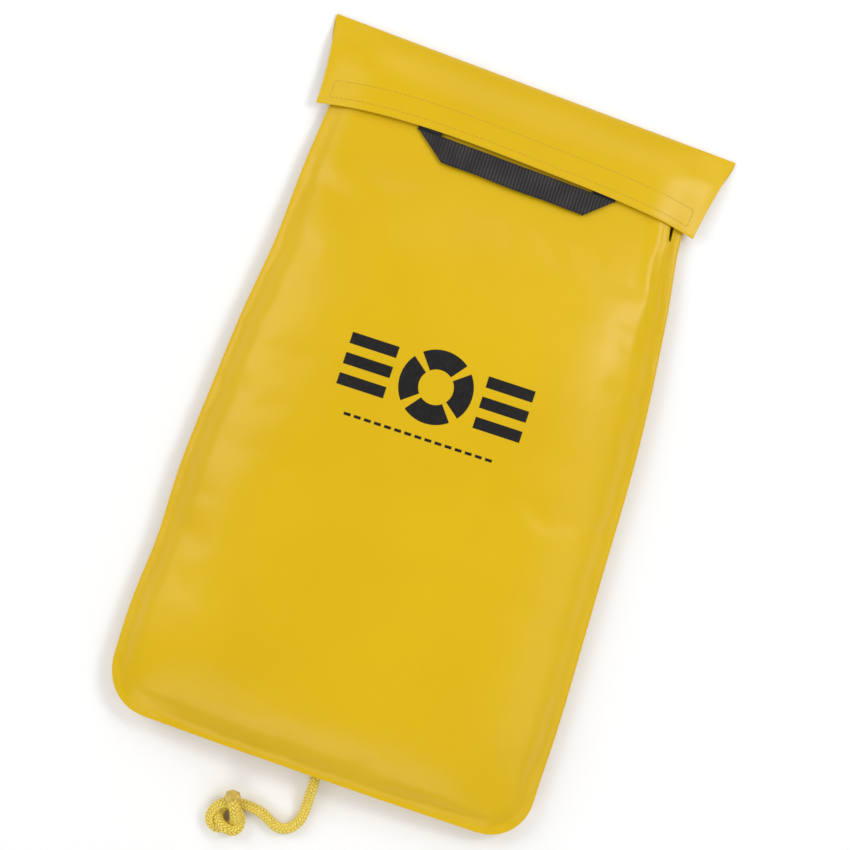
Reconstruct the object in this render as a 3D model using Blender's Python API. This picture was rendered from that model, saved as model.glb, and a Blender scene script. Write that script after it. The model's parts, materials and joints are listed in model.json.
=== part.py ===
"""Throw rope bag: a flat PVC bag with a fold-over closing flap, a webbing grab handle and a floating
rescue line, whose knotted tail comes out of an eyelet in the bottom end.

The bag lies on its back. X is its width, +Y points to the fold that the flap turns on, +Z is the front.
Places on the bag are given as (across, down): across is measured from the bag's centre line, and down is
the distance from the fold towards the bottom end. The origin is the centre of the bag's footprint.
"""

import math

import bmesh
import bpy
from mathutils import Matrix, Vector

# ---------------------------------------------------------------- driving dimensions, in metres
BAG_LENGTH = 0.5585
MOUTH_HALF_WIDTH = 0.1445
FOOT_HALF_WIDTH = 0.1725
WIDTH_CURVE = 1.8
CORNER_RADIUS = 0.036
LEAN = 0.042
TOP_SHIFT = -0.002
FOOT_SKEW = 0.05
# Where the outline swings out (+) or in from the plain taper: side, how far down, reach and amount.
OUTLINE_SWINGS = (
    (-1, 0.180, 0.045, -0.0036),
    (-1, 0.350, 0.040, 0.0008),
    (-1, 0.425, 0.035, -0.0024),
    (-1, 0.545, 0.040, -0.0020),
    (1, 0.082, 0.028, -0.0026),
    (1, 0.225, 0.095, 0.0040),
    (1, 0.520, 0.045, -0.0018),
)
FOOT_RISE = 0.0030
FOOT_RISE_TILT = 0.005
FOOT_RISE_START = 0.40

SHEET = 0.001
GAP = 0.0003
WELD_RIM = 0.002

MOUTH_DOWN = 0.022
MOUTH_RIM_HEIGHT = 0.004
SIDE_RIM_HEIGHT = 0.012
SIDE_RIM_REACH = 0.20
FOOT_RIM_RISE = 0.010
FOOT_RIM_REACH = 0.12
MOUTH_CROWN = 0.008
FULL_CROWN = 0.031
CROWN_REACH = 0.22
CROWN_SIDE_LOSS = 0.3

FLAP_FOLD_HALF_WIDTH = 0.1645
FLAP_EDGE_HALF_WIDTH = 0.155
FLAP_WIDTH_CURVE = 1.8
FLAP_DEPTH = 0.060
FLAP_EDGE_TILT = 0.012
FLAP_CORNER_DROOP = (0.013, 0.006)
FLAP_DROOP_CURVE = (2.6, 4.0)
FLAP_STACK = 0.0042
FLAP_SIDE_LIFT = 0.0020
FLAP_SIDE_START = 0.004
FLAP_SIDE_RUN = 0.012
FLAP_COLUMNS = 30
FLAP_STEPS = (0.0, 0.06, 0.13, 0.22, 0.32, 0.42, 0.55, 0.7, 0.85, 1.0)

TAPE_HALF_WIDTH = 0.130
HOOK_TAPE_HALF_WIDTH = 0.148
HOOK_TAPE_UP = (0.0045, 0.0210)
HOOK_TAPE_ROWS = 4
LOOP_TAPE_DOWN = (0.038, 0.058)
HEM_DOWN = (0.0223, 0.037)
TAPE = 0.001
SEAM_MARGIN = 0.0015

WEBBING_WIDTH = 0.019
WEBBING = 0.001
HANDLE_ACROSS = 0.006
HANDLE_HALF = 0.0808
HANDLE_FOLDS = (0.025, 0.0205)
HANDLE_PIVOT_DOWN = 0.0626
HANDLE_LEG_GAP = 0.0011
HANDLE_ROWS = 4
HANDLE_COLUMNS = 16
LEG_TOP_DOWN = 0.030
TACK_DOWN = (0.0325, 0.0355)
TACK = 0.0008
TACK_MARGIN = 0.002

THREAD_RADIUS = 0.0004

ROPE_DIAMETER = 0.008
PAD_DOWN = (0.165, 0.490)
PAD_HALF_WIDTH = 0.120
PAD_THICKNESS = 0.008
PAD_CORNER = 0.03
HANK_DOWN = (0.160, 0.485)
HANK_HALF_WIDTH = 0.112
HANK_CLEARANCE = 0.0015
HANK_CORNER = 0.04
HANK_ROUND = 0.03
HANK_LEAST_SHARE = 0.05
HANK_LEAST_THICKNESS = 0.003

EYELET_ACROSS = 0.0055
EYELET_HEIGHT = 0.011
EYELET_BORE_RADIUS = 0.0053
EYELET_BARREL_RADIUS = 0.0063
EYELET_HOLE_RADIUS = 0.0067
EYELET_FLANGE_RADIUS = 0.0085
EYELET_FLANGE_ALONG = (-0.0004, -0.0014)
EYELET_BARREL_END = -0.0064
EYELET_LIP = 0.0005
EYELET_LIP_RADIUS = 0.0074
WASHER_ALONG = (-0.0047, -0.0055)
WASHER_RADII = (0.0066, 0.0085)
HOLE_CUT_DEPTH = 0.020
EYELET_SEGMENTS = 32

INNER_KNOT_RADIUS = 0.0095
INNER_KNOT_INSET = 0.036
OUTER_KNOT_RADII = (0.0145, 0.0175, 0.0085)
OUTER_KNOT_AT = (-0.0285, 0.607)

# Distances in from the outline at which the grids have a line, to follow the rim and the wall below it.
EDGE_INSETS = (0.0, WELD_RIM, 0.0032, 0.005, 0.009, 0.015, 0.024, CORNER_RADIUS)
INNER_SHARES = (0.67, 0.33, 0.0)
CLOSE_ROW = 0.0075
CLOSE_ROWS = 11
WIDE_ROWS = 11
STRIP_END_ROOM = 0.001
# The wall under the rim, as (distance in from the outline, share of the rim's height).
WALL_PROFILE = ((0.0, 1.0), (WELD_RIM, 0.96), (0.0032, 0.08), (0.005, 0.0))

# The tail's route from the eyelet to the knot, as (right of the fold's middle, down, height).
TAIL_ROUTE = (
    (0.0278, 0.5660, 0.0105),
    (0.0279, 0.5725, 0.0082),
    (0.0282, 0.5790, 0.0056),
    (0.0284, 0.5855, 0.0043),
    (0.0276, 0.5925, 0.0042),
    (0.0246, 0.5990, 0.0042),
    (0.0192, 0.6035, 0.0042),
    (0.0125, 0.6045, 0.0042),
    (0.0060, 0.6020, 0.0042),
    (-0.0005, 0.5990, 0.0042),
    (-0.0070, 0.5975, 0.0042),
    (-0.0125, 0.5977, 0.0042),
)
HAND_LOOP_ROUTE = (
    (-0.024, 0.1570, 0.0056),
    (-0.026, 0.1450, 0.0054),
    (-0.026, 0.1330, 0.0054),
    (-0.021, 0.1210, 0.0054),
    (-0.010, 0.1130, 0.0054),
    (0.004, 0.1110, 0.0054),
    (0.018, 0.1140, 0.0054),
    (0.028, 0.1230, 0.0054),
    (0.032, 0.1350, 0.0054),
    (0.031, 0.1460, 0.0054),
    (0.028, 0.1570, 0.0056),
)

# ---------------------------------------------------------------- the bag's plan
FOOT_START = BAG_LENGTH - CORNER_RADIUS


def full_half_width(down):
    """Half the bag's width where the bottom corners don't cut into it."""
    share = min(max((down - FLAP_DEPTH) / (BAG_LENGTH - FLAP_DEPTH), 0.0), 1.0)
    taper = (1.0 - share) ** WIDTH_CURVE
    return FOOT_HALF_WIDTH - (FOOT_HALF_WIDTH - MOUTH_HALF_WIDTH) * taper


def half_width(down):
    """Half the bag's width, with its rounded bottom corners."""
    into_corner = max(down - FOOT_START, 0.0)
    cut = CORNER_RADIUS - math.sqrt(max(CORNER_RADIUS**2 - into_corner**2, 0.0))
    return full_half_width(down) - cut


FOLD_X = (FLAP_FOLD_HALF_WIDTH - full_half_width(FOOT_START) - LEAN * FOOT_START - TOP_SHIFT) / 2
FOLD_Y = BAG_LENGTH * (1 + FOOT_SKEW * (FOOT_HALF_WIDTH - CORNER_RADIUS)) / 2


def plan(across, down):
    """The X and Y of a place on the bag. The lower end leans a little to +X, as a soft bag lies."""
    skew = FOOT_SKEW * across * down / BAG_LENGTH
    swing = 0.0
    for side, middle, reach, amount in OUTLINE_SWINGS:
        share = max(side * across / FOOT_HALF_WIDTH, 0.0)
        swing += side * amount * share**2 * math.exp(-(((down - middle) / reach) ** 2))
    rise = FOOT_RISE - FOOT_RISE_TILT * across
    rise *= smooth((down - FOOT_RISE_START) / (BAG_LENGTH - FOOT_RISE_START))
    return FOLD_X + TOP_SHIFT + LEAN * down + across + swing, FOLD_Y - down * (1 - skew) + rise


def from_fold(right, down, height):
    """A point given from the middle of the fold, square to it."""
    return Vector((FOLD_X + right, FOLD_Y - down, height))


def inset(across, down):
    """How far a place lies in from the outline, up to the corner radius."""
    side = max(abs(across) - (full_half_width(down) - CORNER_RADIUS), 0.0)
    foot = max(down - FOOT_START, 0.0)
    return max(CORNER_RADIUS - math.hypot(side, foot), 0.0)


def smooth(share):
    share = min(max(share, 0.0), 1.0)
    return share * share * (3 - 2 * share)


# ---------------------------------------------------------------- the bag's heights
def rim_height(across, down):
    """The height of the weld between the two panels. It lifts in the middle of the bottom end."""
    side = MOUTH_RIM_HEIGHT + (SIDE_RIM_HEIGHT - MOUTH_RIM_HEIGHT) * smooth(down / SIDE_RIM_REACH)
    side *= min(down / MOUTH_DOWN, 1.0)
    middle = 1 - min(abs(across) / full_half_width(down), 1.0) ** 2
    return side + FOOT_RIM_RISE * middle * smooth((down - BAG_LENGTH + FOOT_RIM_REACH) / FOOT_RIM_REACH)


def front_height(across, down):
    """The outer face of the front panel."""
    crown = MOUTH_CROWN + (FULL_CROWN - MOUTH_CROWN) * smooth((down - MOUTH_DOWN) / CROWN_REACH)
    spread = 1 - CROWN_SIDE_LOSS * min(abs(across) / full_half_width(down), 1.0) ** 2
    share = max(inset(across, down) - WELD_RIM, 0.0) / (CORNER_RADIUS - WELD_RIM)
    edge = math.sqrt(max(1 - (1 - share) ** 2, 0.0))
    return rim_height(across, down) + GAP + SHEET + crown * spread * edge


def back_height(across, down):
    """The outer face of the back panel: flat on the ground, with a steep wall up to the rim."""
    place = inset(across, down)
    share = 0.0
    for (near, high), (far, low) in zip(WALL_PROFILE, WALL_PROFILE[1:]):
        if near <= place < far:
            share = high + (low - high) * (place - near) / (far - near)
    return max(rim_height(across, down) - SHEET, 0.0) * share


def flap_edge_down(right):
    """Where the flap's free edge is. Its corners droop, the left one more."""
    side = 0 if right < 0 else 1
    droop = FLAP_CORNER_DROOP[side] * abs(right / FLAP_EDGE_HALF_WIDTH) ** FLAP_DROOP_CURVE[side]
    return FLAP_DEPTH + FLAP_EDGE_TILT * right + droop


def flap_place(right, down):
    """The (across, down) of a place on the flap that is given from the middle of the fold."""
    return right - TOP_SHIFT - LEAN * down, down


def above_edge(right, up):
    """The (across, down) of a place on the flap, some way up from its free edge."""
    return flap_place(right, flap_edge_down(right) - up)


def flap_height(across, down):
    """The flap's under face. It starts on the back panel, and lies over the mouth and the tapes."""
    limit = half_width(down) - WELD_RIM
    inside = min(max(across, -limit), limit)
    to_side = smooth((abs(across) - TAPE_HALF_WIDTH - FLAP_SIDE_START) / FLAP_SIDE_RUN)
    lift = FLAP_STACK + (FLAP_SIDE_LIFT - FLAP_STACK) * to_side
    over_mouth = front_height(inside, max(down, MOUTH_DOWN)) + lift
    rise = math.sin(min(down / MOUTH_DOWN, 1.0) * math.pi / 2)
    at_fold = SHEET + GAP
    return at_fold + (over_mouth - at_fold) * rise


# ---------------------------------------------------------------- building blocks
def clear_scene():
    for obj in list(bpy.data.objects):
        bpy.data.objects.remove(obj)


def material(name, colour, roughness, metallic=0.0):
    made = bpy.data.materials.new(name)
    made.use_nodes = True
    shader = made.node_tree.nodes["Principled BSDF"]
    shader.inputs["Base Color"].default_value = (*colour, 1.0)
    shader.inputs["Roughness"].default_value = roughness
    shader.inputs["Metallic"].default_value = metallic
    return made


def add_object(name, data, surface):
    made = bpy.data.objects.new(name, data)
    bpy.context.scene.collection.objects.link(made)
    made.data.materials.append(surface)
    return made


def finish_mesh(name, bm, surface, sharp_degrees=40):
    """Makes an object of a bmesh, smooth but for its sharp edges."""
    bmesh.ops.recalc_face_normals(bm, faces=bm.faces)
    mesh = bpy.data.meshes.new(name)
    bm.to_mesh(mesh)
    bm.free()
    mesh.shade_smooth()
    mesh.set_sharp_from_angle(angle=math.radians(sharp_degrees))
    return add_object(name, mesh, surface)


def slab(name, surface, rows, under, thickness):
    """A closed sheet over a grid of places, rows of (across, down), from its under face up."""
    bm = bmesh.new()
    levels = []
    for lift in (0.0, 1.0):
        grid = []
        for row in rows:
            line = []
            for across, down in row:
                x, y = plan(across, down)
                thick = thickness(across, down) if callable(thickness) else thickness
                line.append(bm.verts.new((x, y, under(across, down) + lift * thick)))
            grid.append(line)
        levels.append(grid)
    bottom, top = levels
    last_row = len(rows) - 1
    last = len(rows[0]) - 1
    for i in range(last_row):
        for j in range(last):
            bm.faces.new((top[i][j], top[i + 1][j], top[i + 1][j + 1], top[i][j + 1]))
            bm.faces.new((bottom[i][j], bottom[i][j + 1], bottom[i + 1][j + 1], bottom[i + 1][j]))
    border = [(0, j) for j in range(last)] + [(i, last) for i in range(last_row)]
    border += [(last_row, j) for j in range(last, 0, -1)] + [(i, 0) for i in range(last_row, 0, -1)]
    for (i, j), (m, n) in zip(border, border[1:] + border[:1]):
        bm.faces.new((top[i][j], top[m][n], bottom[m][n], bottom[i][j]))
    return finish_mesh(name, bm, surface)


def skin(name, surface, rows, height, outward):
    """A sheet of even thickness whose outer face goes through a grid of places."""
    bm = bmesh.new()
    grid = [[bm.verts.new((*plan(a, d), height(a, d))) for a, d in row] for row in rows]
    for upper, lower in zip(grid, grid[1:]):
        for j in range(len(upper) - 1):
            corners = (upper[j], lower[j], lower[j + 1], upper[j + 1])
            bm.faces.new(corners if outward > 0 else corners[::-1])
    mesh = bpy.data.meshes.new(name)
    bm.to_mesh(mesh)
    bm.free()
    mesh.shade_smooth()
    made = add_object(name, mesh, surface)
    wall = made.modifiers.new("sheet", "SOLIDIFY")
    wall.thickness = SHEET
    wall.offset = -1.0
    wall.use_even_offset = True
    return made


def panel_columns(down):
    """The grid's places across the bag at one distance down."""
    width = half_width(down)
    outer = [width - d for d in EDGE_INSETS]
    inner = [(width - CORNER_RADIUS) * share for share in INNER_SHARES]
    right = inner[::-1] + outer[::-1]
    return [-a for a in right[:0:-1]] + right


def panel_rows(downs):
    return [[(a, d) for a in panel_columns(d)] for d in downs]


def foot_downs():
    """The grid's lines through the bottom corners, down to the outline."""
    return [BAG_LENGTH - d for d in EDGE_INSETS[::-1]]


def body_downs(start):
    """The grid's lines from a start near the fold to the bottom end: close over the mouth, then wider."""
    close = [start + CLOSE_ROW * i for i in range(CLOSE_ROWS)]
    wide = [close[-1] + (FOOT_START - close[-1]) * i / WIDE_ROWS for i in range(1, WIDE_ROWS)]
    return close + wide + foot_downs()


def strip_rows(down_range, half, centre=0.0, steps=4):
    """Rows of places for a band across the bag, on the same lines across as the panels."""
    low, high = down_range
    rows = []
    for i in range(steps + 1):
        down = low + (high - low) * i / steps
        columns = [a for a in panel_columns(down) if abs(a - centre) < half - STRIP_END_ROOM]
        rows.append([(a, down) for a in [centre - half, *columns, centre + half]])
    return rows


def turned(name, surface, profile, centre, segments):
    """A ring turned about an axis along Y. The profile is (distance along -Y, radius)."""
    bm = bmesh.new()
    points = [bm.verts.new(centre + Vector((r, -along, 0.0))) for along, r in profile]
    edges = [bm.edges.new((a, b)) for a, b in zip(points, points[1:] + points[:1])]
    bmesh.ops.spin(
        bm,
        geom=points + edges,
        cent=centre,
        axis=(0.0, 1.0, 0.0),
        angle=2 * math.pi,
        steps=segments,
        use_merge=True,
    )
    bmesh.ops.remove_doubles(bm, verts=bm.verts, dist=1e-6)
    return finish_mesh(name, bm, surface)


def ball(name, surface, centre, radii, segments=20, rings=12):
    bm = bmesh.new()
    bmesh.ops.create_uvsphere(bm, u_segments=segments, v_segments=rings, radius=1.0)
    place = Matrix.Translation(centre) @ Matrix.Diagonal((*radii, 1.0))
    bmesh.ops.transform(bm, verts=bm.verts, matrix=place)
    return finish_mesh(name, bm, surface)


def smooth_line(points, spacing):
    """Points about a spacing apart on a Catmull-Rom curve through the given ones."""
    ends = [2 * points[0] - points[1], *points, 2 * points[-1] - points[-2]]
    line = []
    for p0, p1, p2, p3 in zip(ends, ends[1:], ends[2:], ends[3:]):
        steps = max(1, round((p2 - p1).length / spacing))
        for k in range(steps):
            t = k / steps
            line.append(
                0.5
                * (
                    2 * p1
                    + (p2 - p0) * t
                    + (2 * p0 - 5 * p1 + 4 * p2 - p3) * t * t
                    + (3 * p1 - p0 - 3 * p2 + p3) * t**3
                )
            )
    return [*line, points[-1]]


def tube(name, surface, line, radius, resolution, closed=False):
    curve = bpy.data.curves.new(name, "CURVE")
    curve.dimensions = "3D"
    curve.bevel_depth = radius
    curve.bevel_resolution = resolution
    curve.use_fill_caps = not closed
    spline = curve.splines.new("POLY")
    spline.points.add(len(line) - 1)
    for point, place in zip(spline.points, line):
        point.co = (*place, 1.0)
    spline.use_cyclic_u = closed
    return add_object(name, curve, surface)


# ---------------------------------------------------------------- the bag
def add_panels(pvc):
    front = skin("front_panel", pvc, panel_rows(body_downs(MOUTH_DOWN)), front_height, 1)
    top_rows = [0.0, MOUTH_DOWN / 2]
    back = skin("back_panel", pvc, panel_rows(top_rows + body_downs(MOUTH_DOWN)), back_height, -1)
    cut_rope_hole(back)
    return front, back


def eyelet_centre():
    """Where the eyelet's axis meets the outline of the bottom end."""
    x, y = plan(EYELET_ACROSS, BAG_LENGTH)
    return Vector((x, y, EYELET_HEIGHT))


def cut_rope_hole(back):
    """Cuts the round hole for the eyelet in the wall at the bottom end."""
    bm = bmesh.new()
    bmesh.ops.create_cone(
        bm,
        cap_ends=True,
        segments=EYELET_SEGMENTS,
        radius1=EYELET_HOLE_RADIUS,
        radius2=EYELET_HOLE_RADIUS,
        depth=HOLE_CUT_DEPTH,
    )
    turn = Matrix.Rotation(math.radians(90), 4, "X")
    bmesh.ops.transform(bm, verts=bm.verts, matrix=Matrix.Translation(eyelet_centre()) @ turn)
    cutter = finish_mesh("rope_hole_cutter", bm, back.data.materials[0])
    cutter.hide_render = True
    cutter.display_type = "WIRE"
    hole = back.modifiers.new("rope_hole", "BOOLEAN")
    hole.operation = "DIFFERENCE"
    hole.object = cutter


def add_mouth(pvc, black):
    """The hem inside the mouth and the loop tape outside it."""
    slab(
        "mouth_hem",
        pvc,
        strip_rows(HEM_DOWN, TAPE_HALF_WIDTH),
        lambda a, d: front_height(a, d) - 2 * SHEET - 2 * GAP,
        SHEET,
    )
    slab(
        "loop_tape",
        black,
        strip_rows(LOOP_TAPE_DOWN, TAPE_HALF_WIDTH),
        lambda a, d: front_height(a, d) + 2 * GAP + WEBBING,
        TAPE,
    )


def flap_columns(half):
    """Places across a band under the flap, on the flap's own lines."""
    lines = [FLAP_EDGE_HALF_WIDTH * (2 * i / FLAP_COLUMNS - 1) for i in range(FLAP_COLUMNS + 1)]
    return [-half, *(right for right in lines if abs(right) < half - STRIP_END_ROOM), half]


def add_flap(pvc, black, thread):
    """The flap, its hook tape and the seam that holds the tape."""
    shares = [2 * i / FLAP_COLUMNS - 1 for i in range(FLAP_COLUMNS + 1)]
    rows = []
    for step in FLAP_STEPS:
        narrowing = (1 - step) ** FLAP_WIDTH_CURVE
        half = FLAP_EDGE_HALF_WIDTH + (FLAP_FOLD_HALF_WIDTH - FLAP_EDGE_HALF_WIDTH) * narrowing
        rows.append([flap_place(share * half, step * flap_edge_down(share * half)) for share in shares])
    slab("closing_flap", pvc, rows, flap_height, SHEET)
    low, high = HOOK_TAPE_UP
    rows = []
    for i in range(HOOK_TAPE_ROWS + 1):
        up = high + (low - high) * i / HOOK_TAPE_ROWS
        rows.append([above_edge(right, up) for right in flap_columns(HOOK_TAPE_HALF_WIDTH)])
    slab("hook_tape", black, rows, lambda a, d: flap_height(a, d) - TAPE - GAP, TAPE)
    add_tape_seam(thread)


def add_tape_seam(thread):
    """A closed line of stitching round the hook tape, seen on the flap's outer face."""
    low, high = (HOOK_TAPE_UP[0] + SEAM_MARGIN, HOOK_TAPE_UP[1] - SEAM_MARGIN)
    half = HOOK_TAPE_HALF_WIDTH - SEAM_MARGIN
    places = flap_columns(half)
    there = [above_edge(right, high) for right in places]
    back = [above_edge(-right, low) for right in places]
    lift = SHEET + 2 * GAP + THREAD_RADIUS
    line = [Vector((*plan(a, d), flap_height(a, d) + lift)) for a, d in there + back]
    tube("flap_stitching", thread, line, THREAD_RADIUS, 2, closed=True)


def add_handle(black, thread):
    """The webbing handle, and its two legs that go up under the flap, each held by a bar tack."""
    rows = []
    top = HANDLE_PIVOT_DOWN + GAP
    for i in range(HANDLE_ROWS + 1):
        share = i / HANDLE_ROWS
        left = HANDLE_ACROSS - HANDLE_HALF + HANDLE_FOLDS[0] * share
        right = HANDLE_ACROSS + HANDLE_HALF - HANDLE_FOLDS[1] * share
        down = top + WEBBING_WIDTH * share
        places = [k / HANDLE_COLUMNS for k in range(HANDLE_COLUMNS + 1)]
        rows.append([(left + (right - left) * place, down) for place in places])
    slab("grab_handle", black, rows, lambda a, d: front_height(a, d) + GAP, WEBBING)
    for side, sign in (("left", -1), ("right", 1)):
        middle = HANDLE_ACROSS + sign * (HANDLE_HALF - WEBBING_WIDTH / 2)
        slab(
            f"handle_leg_{side}",
            black,
            strip_rows((LEG_TOP_DOWN, HANDLE_PIVOT_DOWN - HANDLE_LEG_GAP), WEBBING_WIDTH / 2, middle),
            lambda a, d: front_height(a, d) + GAP,
            WEBBING,
        )
        slab(
            f"handle_tack_{side}",
            thread,
            strip_rows(TACK_DOWN, WEBBING_WIDTH / 2 - TACK_MARGIN, middle, steps=1),
            lambda a, d: front_height(a, d) + 2 * GAP + WEBBING,
            TACK,
        )


# ---------------------------------------------------------------- the rope end
def add_eyelet(metal):
    """A two-part eyelet: a flanged barrel from outside, and a washer that it is rolled over inside."""
    centre = eyelet_centre()
    near, far = EYELET_FLANGE_ALONG
    end = EYELET_BARREL_END
    turned(
        "rope_eyelet",
        metal,
        [
            (near, EYELET_BORE_RADIUS + 0.0006),
            (near - 0.0002, EYELET_FLANGE_RADIUS - 0.0004),
            (near - 0.0005, EYELET_FLANGE_RADIUS),
            (far, EYELET_FLANGE_RADIUS),
            (far, EYELET_BARREL_RADIUS),
            (end + EYELET_LIP, EYELET_BARREL_RADIUS),
            (end + EYELET_LIP, EYELET_LIP_RADIUS),
            (end, EYELET_LIP_RADIUS),
            (end, EYELET_BORE_RADIUS + 0.0004),
            (end + 0.0004, EYELET_BORE_RADIUS),
            (near - 0.0006, EYELET_BORE_RADIUS),
        ],
        centre,
        EYELET_SEGMENTS,
    )
    near, far = WASHER_ALONG
    inner, outer = WASHER_RADII
    turned(
        "eyelet_washer",
        metal,
        [(near, inner), (near, outer), (far, outer), (far, inner)],
        centre,
        EYELET_SEGMENTS,
    )


def add_tail(rope):
    """The tail: a knot inside, the rope through the eyelet, and the knot outside."""
    eyelet = eyelet_centre()
    inner = eyelet + Vector((0.0, INNER_KNOT_INSET, 0.0))
    ball("inner_knot", rope, inner, (INNER_KNOT_RADIUS,) * 3)
    start = inner - Vector((0.0, INNER_KNOT_RADIUS + GAP, 0.0))
    straight = [start, start.lerp(eyelet, 0.5), eyelet]
    route = [Vector(p) for p in straight] + [from_fold(*p) for p in TAIL_ROUTE]
    tube("rope_tail", rope, smooth_line(route, 0.003), ROPE_DIAMETER / 2, 3)
    right, down = OUTER_KNOT_AT
    knot = from_fold(right, down, OUTER_KNOT_RADII[2])
    ball("stopper_knot", rope, knot, OUTER_KNOT_RADII)


# ---------------------------------------------------------------- what the bag holds
def block_rows(down_range, half, corner):
    """Rows of places for a rounded rectangle."""
    low, high = down_range
    edge = [corner * (1 - math.cos(math.radians(a))) for a in (0, 30, 60, 90)]
    downs = [low + e for e in edge] + [low + (high - low) * i / 6 for i in range(1, 6)]
    downs += [high - e for e in edge[::-1]]
    rows = []
    for down in downs:
        depth = max(corner - (down - low), corner - (high - down), 0.0)
        width = half - corner + math.sqrt(max(corner**2 - depth**2, 0.0))
        rows.append([(width * math.sin(math.radians(10 * k)), down) for k in range(-9, 10)])
    return rows


def add_contents(foam, rope):
    """The foam float on the back panel, the stuffed line on it, and the line's hand loop at the mouth."""
    pad_rows = block_rows(PAD_DOWN, PAD_HALF_WIDTH, PAD_CORNER)
    slab("foam_float", foam, pad_rows, lambda a, d: SHEET + GAP, PAD_THICKNESS)
    floor = SHEET + 2 * GAP + PAD_THICKNESS
    low, high = HANK_DOWN

    def hank_thickness(across, down):
        roof = front_height(across, down) - SHEET - HANK_CLEARANCE - floor
        ends = min(down - low, high - down) / HANK_ROUND
        sides = (HANK_HALF_WIDTH - abs(across)) / HANK_ROUND
        ends, sides = (min(max(share, HANK_LEAST_SHARE), 1.0) for share in (ends, sides))
        return max(roof * math.sqrt(ends * sides), HANK_LEAST_THICKNESS)

    hank_rows = block_rows(HANK_DOWN, HANK_HALF_WIDTH, HANK_CORNER)
    slab("rope_hank", rope, hank_rows, lambda a, d: floor, hank_thickness)
    loop = smooth_line([from_fold(*p) for p in HAND_LOOP_ROUTE], 0.010)
    tube("hand_loop", rope, loop, ROPE_DIAMETER / 2, 2)


def main():
    clear_scene()
    pvc = material("yellow_pvc", (0.72, 0.46, 0.012), 0.38)
    black = material("black_webbing", (0.018, 0.017, 0.019), 0.85)
    thread = material("yellow_thread", (0.60, 0.40, 0.03), 0.7)
    rope = material("yellow_rope", (0.78, 0.58, 0.06), 0.55)
    foam = material("grey_foam", (0.55, 0.56, 0.57), 0.95)
    metal = material("nickel", (0.62, 0.60, 0.56), 0.3, 1.0)
    add_panels(pvc)
    add_mouth(pvc, black)
    add_flap(pvc, black, thread)
    add_handle(black, thread)
    add_eyelet(metal)
    add_tail(rope)
    add_contents(foam, rope)


main()
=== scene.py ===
"""The throw rope bag's looks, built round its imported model: a welded bag of coated cloth, its webbing handle,
its hook-and-loop closure, and the braided line that it holds, whose knotted tail lies beside it.

Places on the bag are given as (across, down), as the model's own: across from the bag's centre line, and down
from the fold that the flap turns on.
"""

import json
import math

import bmesh
import bpy
import numpy as np
from mathutils import Matrix, Vector, noise
from mathutils.bvhtree import BVHTree


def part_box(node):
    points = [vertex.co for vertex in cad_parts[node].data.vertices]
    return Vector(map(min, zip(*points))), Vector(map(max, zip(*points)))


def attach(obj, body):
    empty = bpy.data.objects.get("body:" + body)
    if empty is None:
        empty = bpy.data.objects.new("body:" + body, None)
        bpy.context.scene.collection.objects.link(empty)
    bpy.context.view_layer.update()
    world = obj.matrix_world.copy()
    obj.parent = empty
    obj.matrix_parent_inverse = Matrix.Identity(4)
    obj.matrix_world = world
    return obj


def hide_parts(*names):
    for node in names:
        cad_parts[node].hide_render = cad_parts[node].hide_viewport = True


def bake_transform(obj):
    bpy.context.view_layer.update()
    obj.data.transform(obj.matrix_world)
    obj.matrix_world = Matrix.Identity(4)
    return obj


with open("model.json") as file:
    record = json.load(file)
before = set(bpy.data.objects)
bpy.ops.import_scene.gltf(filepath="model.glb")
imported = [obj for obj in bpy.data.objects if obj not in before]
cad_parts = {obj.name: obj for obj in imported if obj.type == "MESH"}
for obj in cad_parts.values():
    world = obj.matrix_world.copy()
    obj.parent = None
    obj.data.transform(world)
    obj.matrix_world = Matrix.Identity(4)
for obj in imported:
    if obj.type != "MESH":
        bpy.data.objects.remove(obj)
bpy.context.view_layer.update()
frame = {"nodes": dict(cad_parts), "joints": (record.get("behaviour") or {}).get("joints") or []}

# ---------------------------------------------------------------- the bag's sizes in metres, as in the model
BAG_LENGTH = 0.5585
MOUTH_HALF_WIDTH = 0.1445
FOOT_HALF_WIDTH = 0.1725
WIDTH_CURVE = 1.8
CORNER_RADIUS = 0.036
LEAN = 0.042
TOP_SHIFT = -0.002
FOOT_SKEW = 0.05
# Where the outline swings out (+) or in from the plain taper: side, how far down, reach, amount.
OUTLINE_SWINGS = (
    (-1, 0.180, 0.045, -0.0036),
    (-1, 0.350, 0.040, 0.0008),
    (-1, 0.425, 0.035, -0.0024),
    (-1, 0.545, 0.040, -0.0020),
    (1, 0.082, 0.028, -0.0026),
    (1, 0.225, 0.095, 0.0040),
    (1, 0.520, 0.045, -0.0018),
)
FOOT_RISE = 0.0030
FOOT_RISE_TILT = 0.005
FOOT_RISE_START = 0.40
FOOT_START = BAG_LENGTH - CORNER_RADIUS

MOUTH_DOWN = 0.022
MOUTH_RIM_HEIGHT = 0.004
SIDE_RIM_HEIGHT = 0.012
SIDE_RIM_REACH = 0.20
FOOT_RIM_RISE = 0.010
FOOT_RIM_REACH = 0.12
MOUTH_CROWN = 0.008
FULL_CROWN = 0.031
CROWN_REACH = 0.22
CROWN_EDGE = 0.021
# The section across the filled bag: 1 - side ** squareness, to the power of the fullness.
SECTION_SQUARENESS = 3.6
SECTION_FULLNESS = 0.62
FILL_START = 0.03
FILL_REACH = 0.12
FOOT_FALL = 0.10
FOOT_FALL_CURVE = 2.2

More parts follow.
